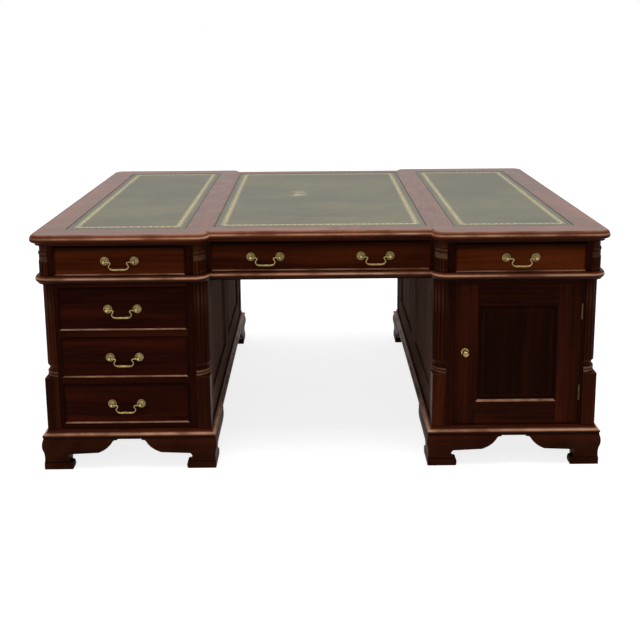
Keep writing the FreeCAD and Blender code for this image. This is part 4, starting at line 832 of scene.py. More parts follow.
@dataclass(frozen=True)
class Timber:
    """A polished or plain timber.

    Attributes:
        name: The finish's name.
        dark: Colour between the streaks.
        middle: Colour of the streaks.
        light: Colour of the ribbons.
        rubbed: Colour of rubbing on arrises, and of painted highlights on the crowns of mouldings, beads and
            rings.
        dirt: Colour of grime in the quirks, and of painted shade below mouldings, on beads and under the
            top.
        roughness: Mean roughness.
        specular: The polish's mirror strength, 0.5 for fresh polish.
        pores: How strong the pores are.
        relief: Height of the open grain in millimetres.
        shade: Heights in metres between which a painted shade under the top darkens the colour towards the
            top, if there is one.
        slot: The record's material slot; not used.
    """

    name: str
    dark: str
    middle: str
    light: str
    rubbed: str
    dirt: str
    roughness: float
    specular: float
    pores: float = 0.5
    relief: float = 0.05
    shade: tuple | None = None
    slot: Slot = Slot.MAHOGANY

    def make(self) -> bpy.types.Material:
        """Builds the material.

        Returns:
            The material.
        """
        material, bench, shader = blank_material(self.name)
        place = bench.place()
        figure = bench.effect(Effects.figure(), {
            "Vector": bench.attribute("grain", "Vector"),
            "Dark": tint(self.dark),
            "Middle": tint(self.middle),
            "Light": tint(self.light),
            "Pores": self.pores,
        })
        colour = bench.effect(Effects.handled_and_lit(), {
            "Color": figure["Color"],
            "Rubbed": tint(self.rubbed),
            "Dirt": tint(self.dirt),
            "Wear": bench.attribute("wear", "Fac"),
            "Vector": place,
        })["Color"]
        # Painted shade under the top: the colour darkens towards the top of the band, to the quirks' dark
        # colour.
        if self.shade:
            shadow = bench.band(bench.split(place)[2], *self.shade, 0.0, 0.85)
            colour = bench.mixed(shadow, colour, tint(self.dirt))
        smear = bench.calc("MULTIPLY_ADD", bench.noise(place, 14.0, 3.0), 0.14, self.roughness - 0.12)
        rough = bench.calc("ADD", smear, figure["Gloss"], clamp=True)
        bench.dress(shader, colour, rough, figure["Height"], 0.35, self.relief)
        shader.inputs["Specular IOR Level"].default_value = self.specular
        return material


@dataclass(frozen=True)
class Hide:
    """A dyed writing leather with a gilt border.

    Attributes:
        name: The finish's name.
        dye: Main colour.
        shade: Colour of the darker mottling and of the grain's creases.
        bloom: Colour of the paler mottling, where rubbing has lightened it.
        gilt: Colour of the border's gold.
        start: Distance of the border from the edge in millimetres.
        width: Width of the border.
        pitch: Length of one repeat.
        scuff: Colour of the scuff.
        scuff_scale: One over the scuff's reach along and across, in metres.
        scuff_shift: What brings the scuff's middle to 0 once scaled.
        soil: Colour of the soiling along the edge.
        slot: The record's material slot; not used.
    """

    name: str
    dye: str
    shade: str
    bloom: str
    gilt: str
    start: float
    width: float
    pitch: float
    scuff: str = "a09b7a"
    scuff_scale: tuple = (18.0, 12.0, 0.0)
    scuff_shift: tuple = (1.476, -0.52, 0.0)
    soil: str = "14130f"
    slot: Slot = Slot.LEATHER

    def make(self) -> bpy.types.Material:
        """Builds the material.

        Returns:
            The material.
        """
        material, bench, shader = blank_material(self.name)
        place = bench.place()
        cloud = bench.noise(bench.stretched(place, (2.2, 6.0, 1.0)), 1.0, 5.0, 0.6)
        fibre = bench.noise(bench.stretched(place, (14.0, 60.0, 1.0)), 1.0, 4.0, 0.6)
        cell = bench.node(
            "ShaderNodeTexVoronoi", {"Vector": place, "Scale": 700.0}, feature="DISTANCE_TO_EDGE"
        ).outputs["Distance"]
        crease = bench.band(cell, 0.0, 0.18, 1.0, 0.0)
        colour = bench.mixed(bench.band(cloud, 0.35, 0.7), tint(self.dye), tint(self.bloom))
        colour = bench.mixed(bench.band(fibre, 0.45, 0.75, 0.0, 0.5), colour, tint(self.shade))
        colour = bench.mixed(bench.calc("MULTIPLY", crease, 0.35), colour, tint(self.shade))
        spot = bench.distance(bench.stretched(place, self.scuff_scale, self.scuff_shift))
        broken = bench.band(bench.noise(place, 26.0, 5.0), 0.35, 0.65)
        scuff = bench.calc("MULTIPLY", bench.band(spot, 0.9, 0.0), broken)
        colour = bench.mixed(scuff, colour, tint(self.scuff))
        edge = bench.calc("MULTIPLY", bench.negative(bench.attribute("wear", "Fac")), 0.9)
        colour = bench.mixed(edge, colour, tint(self.soil))
        border = bench.effect(Effects.tooling(), {
            "Vector": bench.attribute("tooling", "Vector"),
            "Start": self.start * MM,
            "Width": self.width * MM,
            "Pitch": self.pitch * MM,
        })
        kept = bench.band(bench.noise(place, 160.0, 3.0), 0.30, 0.52, 0.25, 1.0)
        gold = bench.calc("MULTIPLY", border["Mask"], kept)
        rough = bench.calc("MULTIPLY_ADD", cloud, 0.16, bench.calc("MULTIPLY_ADD", gold, -0.12, 0.40))
        height = bench.calc("MULTIPLY_ADD", gold, -1.5, bench.calc("MULTIPLY", crease, -1.0))
        bench.dress(shader, bench.mixed(gold, colour, tint(self.gilt)), rough, height, 0.4, 0.12)
        bench.feed(shader.inputs["Metallic"], bench.calc("MULTIPLY", gold, 0.5))
        return material


@dataclass(frozen=True)
class Metal:
    """A lacquered metal that has dulled unevenly.

    Attributes:
        name: The finish's name.
        bright: Colour where handling keeps it bright, and of the painted highlight on the roses' bosses.
        dull: Colour where it has tarnished.
        roughness: Mean roughness.
        dirt: Colour of patina in the hollows, and of the painted shade on the roses' rims.
        slot: The record's material slot; not used.
    """

    name: str
    bright: str
    dull: str
    roughness: float
    dirt: str = "211b0d"
    slot: Slot = Slot.BRASS

    def make(self) -> bpy.types.Material:
        """Builds the material.

        Returns:
            The material.
        """
        material, bench, shader = blank_material(self.name)
        place = bench.place()
        patch = bench.band(bench.noise(place, 55.0, 4.0), 0.36, 0.66, 0.6, 0.85)
        colour = bench.effect(Effects.handled_and_lit(), {
            "Color": bench.mixed(patch, tint(self.bright), tint(self.dull)),
            "Rubbed": tint(self.bright),
            "Dirt": tint(self.dirt),
            "Wear": bench.attribute("wear", "Fac"),
            "Vector": place,
        })["Color"]
        scratch = bench.noise(place, 420.0, 2.0)
        fine = bench.calc("MULTIPLY_ADD", scratch, 0.1, self.roughness - 0.1)
        bench.dress(shader, colour, bench.calc("MULTIPLY_ADD", patch, 0.12, fine), scratch, 0.12, 0.05)
        shader.inputs["Metallic"].default_value = 1.0
        return material


class Finish(Enum):
    """The desk's finishes."""

    TOP = Timber("polished_top", "482516", "5d3321", "6e4129", "74452f", "1c0d08", 0.34, 0.5, 0.35)
    # Mouldings: the pale fourth colour is a painted highlight along the crowns, with next to no mirror
    # strength; the fifth colour paints the shade below them.
    MOULDING = Timber("polished_moulding", "451b0d", "622912", "78381b", "dfa987", "120602", 0.26, 0.03, 0.4)
    FACE = Timber("polished_face", "270f08", "40190c", "512211", "5c2e1c", "0c0502", 0.32, 0.012)
    # Posts: the pale fourth colour paints highlights on the rings' crowns, besides rubbing on arrises.
    POST = Timber("polished_post", "2b1109", "491d0d", "5e2c14", "966c55", "0c0502", 0.32, 0.012)
    # Frieze drawers: the drawer mahogany painted lighter and redder as painted light, with a painted shade
    # under the top.
    FRIEZE = Timber(
        "polished_frieze",
        "421a0b",
        "612710",
        "7d3a18",
        "784230",
        "0c0502",
        0.32,
        0.012,
        shade=(0.705, 0.742),
    )
    DRAWER = Timber("polished_drawer", "270d06", "40160c", "552111", "5c2e1c", "0c0502", 0.32, 0.012)
    # Feet: the face mahogany painted darker, as painted shade under the base moulding.
    FOOT = Timber("foot_painted_shade", "1c0804", "2d1008", "4a2011", "4c2413", "080302", 0.34, 0.012)
    DARK = Timber("polished_dark", "190803", "270e06", "341408", "442010", "080302", 0.34, 0.012)
    # Kneehole sides: paler, greyer colours that paint the sheen of a grazing reflection, with next to no
    # mirror strength; dark joints along the arrises.
    SIDE = Timber("side_painted_sheen", "614536", "7a5b4c", "91725f", "22140d", "22140d", 0.6, 0.002, 0.4)
    INSIDE = Timber("stained_inside", "2c160c", "452414", "573219", "5a3820", "140a05", 0.55, 0.1, 0.6)
    LINING = Timber("drawer_lining", "8a6a44", "a8865a", "bd9c6e", "c4a87c", "5c4328", 0.62, 0.15, 0.6)
    HIDE = Hide("writing_leather", "44412b", "28271b", "5c583e", "c4b47a", 20.0, 17.0, 40.0)
    BRASS = Metal("dulled_brass", "c2ab76", "6a5a34", 0.24)
    AGED_BRASS = Metal("aged_brass", "5c4e2e", "33291a", 0.42)


@cache
def material_of(finish: Finish) -> bpy.types.Material:
    """A finish's material, made when it is first asked for."""
    return finish.value.make()


def fit(
    name: str,
    surface: Surface,
    finish: Finish,
    body: str,
    *nodes: str,
    wound: bool = False,
    coordinates: str = "grain",
) -> None:
    """Makes a piece and puts it on the frame, with its object at the origin.

    Args:
        name: The piece's name.
        surface: Its shape in millimetres.
        finish: Its finish.
        body: The CAD body it rides on.
        nodes: CAD nodes it stands for.
        wound: Whether its faces already point outwards, as on an open sheet.
        coordinates: Name of the attribute that takes the surface's wood coordinates.
    """
    mesh = bpy.data.meshes.new(name)
    faces = [face for block in surface.faces for face in block.tolist()]
    mesh.from_pydata((surface.points * MM).tolist(), [], faces)
    grain = mesh.attributes.new(coordinates, "FLOAT_VECTOR", "POINT")
    grain.data.foreach_set("vector", (surface.grain * MM).ravel())
    wear = mesh.attributes.new("wear", "FLOAT", "POINT")
    wear.data.foreach_set("value", surface.wear.astype(np.float32))
    shell = bmesh.new()
    shell.from_mesh(mesh)
    bmesh.ops.remove_doubles(shell, verts=shell.verts, dist=WELD)
    if not wound:
        bmesh.ops.recalc_face_normals(shell, faces=shell.faces)
    shell.to_mesh(mesh)
    shell.free()
    mesh.polygons.foreach_set("use_smooth", np.ones(len(mesh.polygons), bool))
    mesh.set_sharp_from_angle(angle=SHARP_ANGLE)
    piece = bpy.data.objects.new(name, mesh)
    bpy.context.scene.collection.objects.link(piece)
    mesh.materials.append(material_of(finish))
    shading = piece.modifiers.new("shading", "WEIGHTED_NORMAL")
    shading.keep_sharp = True
    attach(piece, body)
    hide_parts(*nodes)
    LOG.info("%s: %d faces on %s", name, len(mesh.polygons), body)


@dataclass
class WritingTop:
    """The moulded top with its three leathers."""

    half_length: float = 915.0
    half_depth: float = 610.0
    return_x: float = 349.0
    corner: float = 42.0
    bend: float = 36.0
    steps: int = 13
    nose_depth: float = 11.0
    nose_drop: float = 18.0
    crown_drop: float = 11.5
    step_drop: float = 25.0
    under: float = 34.0
    under_z: float = 750.0
    recess: float = 2.0
    gap: float = 1.2
    side_inner: float = 429.0
    side_outer: float = 815.0
    side_depth: float = 523.0
    middle_x: float = 343.0
    middle_depth: float = 509.0

    def build(self) -> None:
        """Builds the wood and the leathers."""
        fit("top_edge", self.edge(), Finish.MOULDING, CARCASE, "desk_top")
        flat = joined([*self.bands(), *self.trays()])
        fit("top_bands", flat, Finish.TOP, CARCASE, "desk_top", wound=True)
        for name, x0, x1, depth in self.leathers():
            self.leather(name, x0, x1, depth)

    def leathers(self) -> list[tuple]:
        """The three leathers as (name, x0, x1, half depth)."""
        return [
            ("left", -self.side_outer, -self.side_inner, self.side_depth),
            ("middle", -self.middle_x, self.middle_x, self.middle_depth),
            ("right", self.side_inner, self.side_outer, self.side_depth),
        ]

    def quarter(self, inset: float = 0.0) -> tuple[Array, Array]:
        """A quarter of the plan and its outward vectors, drawn in by an inset.

        Args:
            inset: How far.

        Returns:
            (n, 2) points and (n, 2) outward vectors.
        """
        return quarter_plan(
            self.half_length - inset,
            self.half_depth - inset,
            self.return_x + inset,
            self.corner - inset,
            self.bend - inset,
            self.steps,
        )

    def edge(self) -> Surface:
        """The nose, the step and the cove, carried round the plan, with the underside.

        Returns:
            The moulding; its inner side is left open.
        """
        top, step_z = DESK_HEIGHT, DESK_HEIGHT - self.step_drop
        tip = (0.0, top - self.nose_drop)
        profile = profile_of(
            upright_arc(tip, (-self.nose_depth, top), 21)[::-1],
            upright_arc(tip, (-4.0, step_z), 9)[1:],
            (-8.0, step_z),
            arc((-8.0, step_z), (-14.0, step_z - 3.5), (-16.0, self.under_z), 7)[1:],
            (-self.under, self.under_z),
        )
        path, outward = (breakfront(part) for part in self.quarter())
        # Painted highlight along the nose's crown and painted shade below it; the bell at the top arris is
        # partly rubbing and partly a painted highlight.
        arris = np.exp(-(((profile[:, 1] - top) / 4.0) ** 2))
        worn_and_lit = 0.85 * roll_highlight_and_shade(profile, top - self.crown_drop, 2.8) + 0.3 * arris
        band = swept(path, outward, profile, Log.TOP_EDGE, worn_and_lit=worn_and_lit)
        number = np.arange(len(band.points)).reshape(-1, len(profile))
        inner, outer = number[:, 0], number[:, -1]
        quads = band.faces[0]
        across = np.isin(quads, inner).any(1) & np.isin(quads, outer).any(1)
        return replace(band, faces=[quads[~across], outer[None, :-1]])

    def bands(self) -> list[Surface]:
        """The flat bands: ruled sheets between the nose's inner line and the leathers' edges.

        Returns:
            The sheets, all facing up.
        """
        outline, _ = self.quarter(self.nose_depth)
        half = (self.steps + 1) // 2
        x, y = self.middle_x, -self.side_depth
        beside = (x, outline[0, 1])
        cross = np.linspace(x, self.side_inner, self.steps + 2)[1:]
        corner = np.tile([self.side_outer, y], (half, 1))
        front_inner = profile_of(
            (0.0, -self.middle_depth),
            (x, -self.middle_depth),
            (x, y),
            np.column_stack([cross, np.full(len(cross), y)]),
            corner,
        )
        front_outer = profile_of(outline[0], beside, beside, outline[1 : 2 + self.steps + half])
        front = self.ruled(front_outer, front_inner)
        end = self.ruled(outline[1 + self.steps + half :], profile_of(corner, (self.side_outer, 0.0)))
        upright = np.array([[0.0, y], [0.0, -y]])
        between = self.ruled(upright + (x, 0.0), upright + (self.side_inner, 0.0))
        sheets = []
        for index, (sx, sy) in enumerate(CORNERS):
            sheets.append(front.scaled(sx, sy, 1).grained(Grain.X, Log.FRONT_BANDS + index // 2))
            sheets.append(end.scaled(sx, sy, 1).grained(Grain.Y, Log.END_BANDS + index % 2))
        for index, sx in enumerate((1, -1)):
            sheets.append(between.scaled(sx, 1, 1).grained(Grain.Y, Log.CROSS_BANDS + index))
        return sheets

    def ruled(self, outer: Array, inner: Array) -> Surface:
        """A flat sheet of straight lines between two lines of as many points, at the top's height.

        Args:
            outer: (n, 2) points.
            inner: (n, 2) points.

        Returns:
            The sheet.
        """
        points = raised(np.stack([outer, inner], 1), DESK_HEIGHT).reshape(-1, 3)
        start = np.arange(len(outer) - 1) * 2
        quads = np.stack([start, start + 1, start + 3, start + 2], 1)
        return Surface(points, [quads], points, np.zeros(len(points)))

    def trays(self) -> list[Surface]:
        """The shallow recesses under the leathers.

        Returns:
            One open tray for each leather.
        """
        levels = np.array([[DESK_HEIGHT], [DESK_HEIGHT - self.recess]])
        grime = np.broadcast_to(np.array([[0.0], [-1.0]]), (2, 4))
        made = []
        for _, x0, x1, depth in self.leathers():
            path, _ = oblong(x0, x1, -depth, depth)
            rows = raised(np.stack([path, path]), levels)
            tray = netted(rows, rows, grime, False)
            made.append(replace(tray, faces=[*tray.faces, np.arange(4, 8)[None]]))
        return made

    def leather(self, name: str, x0: float, x1: float, depth: float) -> None:
        """One leather: nested oblongs, from a turned-down edge inwards.

        Point (i, j) lies on the oblong drawn in by distance i, at share j round it. The tooling attribute
        is the distance from the nearest corner and the distance from the edge.

        Args:
            name: Which leather.
            x0: Low X of its recess.
            x1: High X.
            depth: Half its recess's depth.
        """
        half = np.array([(x1 - x0) / 2.0 - self.gap, depth - self.gap])
        middle = (x0 + x1) / 2.0
        drawn = np.array([0.0, 0.0, 0.5, 1.6, 4.0, 10.0, 21.0, 25.0, 29.0, 33.0, 37.0, 60.0, 110.0, 160.0])
        sink = np.full(len(drawn), 0.4)
        sink[:5] = (1.9, 1.2, 0.75, 0.5, 0.42)
        sink[-2:] = (0.35, 0.3)
        grime = np.zeros(len(drawn))
        grime[:5] = (-1.0, -1.0, -1.0, -0.8, -0.3)
        share = np.linspace(-1.0, 1.0, 9)[:-1]
        one = np.ones_like(share)
        sides = ((share, -one), (one, share), (-share, one), (-one, -share))
        signs = np.concatenate([np.stack(pair, 1) for pair in sides])
        reach = half - drawn[:, None]
        plan = reach[:, None] * signs
        points = raised(plan + (middle, 0.0), (DESK_HEIGHT - sink)[:, None])
        side = np.abs(signs).argmin(1)
        from_corner = (reach[:, None] - np.abs(plan))[:, np.arange(len(side)), side]
        tooling = np.stack(np.broadcast_arrays(from_corner, drawn[:, None], 0.0), -1)
        surface = netted(points, tooling, np.broadcast_to(grime[:, None], plan.shape[:2]), True)
        fit(f"leather_{name}", surface, Finish.HIDE, CARCASE, "leather_insets", coordinates="tooling")


@dataclass
class QuarterColumn:
    """A fluted quarter column with turned rings, about the origin in the quarter with positive X and Y."""

    flutes: int = 5
    flute_radius: float = 3.0
    flute_depth: float = 2.0
    flute_dirt: float = 0.6
    rope_ridges: float = 44.0
    rope_slant: float = 0.7
    ring_spread: float = 2.2
    samples: int = 61

    def ring_highlights(self, profile: Array, crowns: tuple) -> Array:
        """Painted highlights of the rings: the sum of a bell round each crown's height.

        Args:
            profile: (n, 2) radius and height of each row.
            crowns: Heights of the crowns with a painted highlight.

        Returns:
            (n,) painted highlight from 0 to 1.
        """
        away = (profile[:, 1:] - np.array(crowns)) / self.ring_spread
        return np.exp(-(away**2)).sum(1)

    def shape(self, profile: Array, fluted: Array, roped: Array, ring_light: Array, seed: int) -> Surface:
        """The column's surface.

        At angle t the radius is the profile's, less the depth of a round flute where the row is fluted,
        and with slanting ridges where the row is roped. Two flat sides close it to the axis.

        Args:
            profile: (n, 2) radius and height of each row.
            fluted: (n,) share of the flutes' depth.
            roped: (n,) height of the rope's ridges.
            ring_light: (n,) painted highlights of the rings.
            seed: Picks the place in the log.

        Returns:
            The closed quarter.
        """
        radius, height = profile[:, :1], profile[:, 1:]
        turn = np.linspace(0.0, QUARTER_TURN, self.samples)[None]
        step = QUARTER_TURN / self.flutes
        offset = (np.mod(turn, step) - 0.5 * step) * radius
        hollow = np.sqrt(np.maximum(self.flute_radius**2 - offset**2, 0.0))
        hollow = np.maximum(hollow - (self.flute_radius - self.flute_depth), 0.0) * fluted[:, None]
        ridge = roped[:, None] * np.cos(turn * self.rope_ridges + height * self.rope_slant)
        ring = (radius - hollow + ridge)[..., None] * np.stack([np.cos(turn), np.sin(turn)], -1)
        axis = np.zeros((len(profile), 1, 2))
        points = raised(np.concatenate([ring, axis], 1), height)
        around = radius.max() * np.append(turn, 0.0)[None]
        grain = np.stack(np.broadcast_arrays(height, around, 0.0), -1) + log_places(1, seed)
        dirt = np.concatenate([-self.flute_dirt * hollow / self.flute_depth, axis[..., 0]], 1)
        rows = ring_light.copy()
        rows[1:-1] += handling(profile)[1:-1]
        return netted(points, grain, np.clip(dirt + rows[:, None], -1.0, 1.0), True)


@dataclass
class Frieze:
    """The band of drawers under the top: boards, columns and the waist moulding."""

    outer_x: float = 896.0
    inner_x: float = 364.0
    block_y: float = BLOCK_Y
    face_y: float = FACE_Y
    radius: float = 36.0
    waist_z: float = 622.0
    floor_z: float = 648.0
    rail_z: float = 743.0
    top_z: float = 750.0
    opening_inner: float = 425.0
    opening_outer: float = 842.0
    middle_opening: float = 351.0
    end_inner: float = 869.0
    end_outer: float = 891.0
    partition_x: float = 384.0
    half_spine: float = 10.0
    stile: float = 29.0
    rail: float = 40.0
    guide: float = 30.0
    crown_drop: float = 7.0
    steps: int = 11

    def build(self) -> None:
        """Builds the frieze's pieces."""
        radius = self.radius
        quarter = quarter_plan(self.outer_x, self.block_y, self.inner_x, radius, radius, self.steps)
        path, outward = (breakfront(part) for part in quarter)
        self.floor(path)
        self.frame()
        self.partitions()
        profile = self.waist_profile()
        # Painted highlight along the waist roll's crown and painted shade below it.
        worn_and_lit = 1.35 * roll_highlight_and_shade(profile, self.floor_z - self.crown_drop, 2.6)
        waist = swept(path, outward, profile, Log.WAIST, worn_and_lit=worn_and_lit)
        fit("waist_roll", waist, Finish.MOULDING, CARCASE, "waist_moulding")
        fit("frieze_quarter_columns", self.columns(), Finish.POST, CARCASE, "frieze_columns")

    def waist_profile(self) -> Array:
        """The waist's section: a bold half round on a narrow fillet."""
        low, high = self.waist_z, self.floor_z
        return profile_of(
            (-4.0, low),
            (5.0, low),
            (5.0, low + 3.5),
            arc((6.0, low + 3.5), (13.5, (low + high) / 2.0 + 1.75), (6.0, high), 25),
            (-4.0, high),
        )

    def floor(self, outline: Array) -> None:
        """The frieze's bottom board, which follows the plan.

        Args:
            outline: (n, 2) plan points.
        """
        rows = raised(np.stack([outline, outline]), np.array([[self.waist_z], [self.floor_z]]))
        board = netted(rows, rows, np.zeros(rows.shape[:2]), True).grained(Grain.X, Log.FRIEZE_FLOOR)
        fit("frieze_floor", board, Finish.INSIDE, CARCASE, "frieze_frame")

    def frame(self) -> None:
        """Ends, stiles and rails."""
        low, high = self.floor_z, self.top_z
        back = self.block_y - self.radius
        middle_y = self.face_y - BREAK_DEPTH
        boxes, grain = [], []
        for sx in (-1, 1):
            boxes.append((sx * self.end_inner, sx * self.end_outer, -back, back, low, high))
            grain.append(Grain.Y)
            for sy in (-1, 1):
                face, behind = sy * self.face_y, sy * back
                middle = sy * middle_y
                stiles = [
                    (self.opening_outer, self.outer_x - self.radius, face, behind),
                    (self.inner_x + self.radius, self.opening_inner, face, behind),
                    (self.middle_opening, self.inner_x, middle, middle - sy * self.stile),
                ]
                boxes += [(sx * x0, sx * x1, y0, y1, low, high) for x0, x1, y0, y1 in stiles]
                grain += [Grain.Z] * 3
                x0, x1 = sx * self.opening_inner, sx * self.opening_outer
                boxes.append((x0, x1, face, face - sy * self.rail, self.rail_z, high))
                grain.append(Grain.X)
        for sy in (-1, 1):
            middle = sy * middle_y
            x = self.middle_opening
            boxes.append((-x, x, middle, middle - sy * self.rail, self.rail_z, high))
            grain.append(Grain.X)
        frame_boards = boards(boxes, grain, Log.FRIEZE_FRAME)
        fit("frieze_rails_and_stiles", frame_boards, Finish.FACE, CARCASE, "frieze_frame")

    def partitions(self) -> None:
        """The boards and guide strips between the drawers."""
        low, high, guide = self.floor_z, self.top_z, self.floor_z + self.guide
        back, spine, x = self.block_y - self.radius, self.half_spine, self.partition_x
        middle_back = self.face_y - BREAK_DEPTH - self.stile
        boxes, grain = [(-self.inner_x, self.inner_x, -spine, spine, low, high)], [Grain.X]
        for sx in (-1, 1):
            boxes.append((sx * self.inner_x, sx * x, -back, back, low, high))
            boxes.append((sx * x, sx * self.end_inner, -spine, spine, low, high))
            grain += [Grain.Y, Grain.X]
            for sy in (-1, 1):
                strips = [
                    (self.opening_outer, self.end_inner, back),
                    (x, self.opening_inner, back),
                    (self.middle_opening, self.inner_x, middle_back),
                ]
                boxes += [(sx * x0, sx * x1, sy * y, sy * spine, low, guide) for x0, x1, y in strips]
                grain += [Grain.Y] * 3
        guides = boards(boxes, grain, Log.PARTITIONS)
        fit("drawer_guides", guides, Finish.INSIDE, CARCASE, "frieze_partitions")

    def columns(self) -> Surface:
        """The eight quarter columns: flutes below, three rings and a roped bulge, a plain neck.

        Returns:
            The columns in one surface.
        """
        low, high, radius = self.floor_z, self.top_z, self.radius
        rings = high - 57.0
        bulge = high - 39.0
        neck = high - 23.0
        core = radius - 4.0
        starts = (rings, rings + 6.0, rings + 12.0)
        profile = profile_of(
            np.column_stack([np.full(6, radius), np.linspace(low, rings - 4.0, 6)]),
            np.column_stack([np.full(4, radius), np.linspace(rings - 3.0, rings, 4)]),
            *[arc((core, z), (radius - 1.0, z + 3.0), (core, z + 6.0), 7) for z in starts],
            arc((core, bulge), (radius, bulge + 9.0), (core, neck), 13)[1:],
            (radius - 3.0, neck),
            (radius - 3.0, high),
        )
        fluted = np.zeros(len(profile))
        fluted[:9] = (1.0, 1.0, 1.0, 1.0, 1.0, 1.0, 0.9, 0.7, 0.3)
        reach, height = profile.T
        roped = np.where((height > bulge) & (height < neck) & (reach > core + 1.0), 0.35, 0.0)
        maker = QuarterColumn()
        # Painted highlights on the crowns of the three rings and the bulge.
        rubbed = 0.7 * maker.ring_highlights(profile, (*[z + 3.5 for z in starts], bulge + 11.0))
        y = self.block_y - radius
        parts = []
        for index, (sx, sy) in enumerate(FRONT_FIRST):
            column = maker.shape(profile, fluted, roped, rubbed, Log.FRIEZE_COLUMNS + index)
            outer = column.scaled(sx, sy, 1).moved(sx * (self.outer_x - radius), sy * y, 0)
            inner = column.scaled(-sx, sy, 1).moved(sx * (self.inner_x + radius), sy * y, 0)
            parts += [outer, inner]
        return joined(parts)


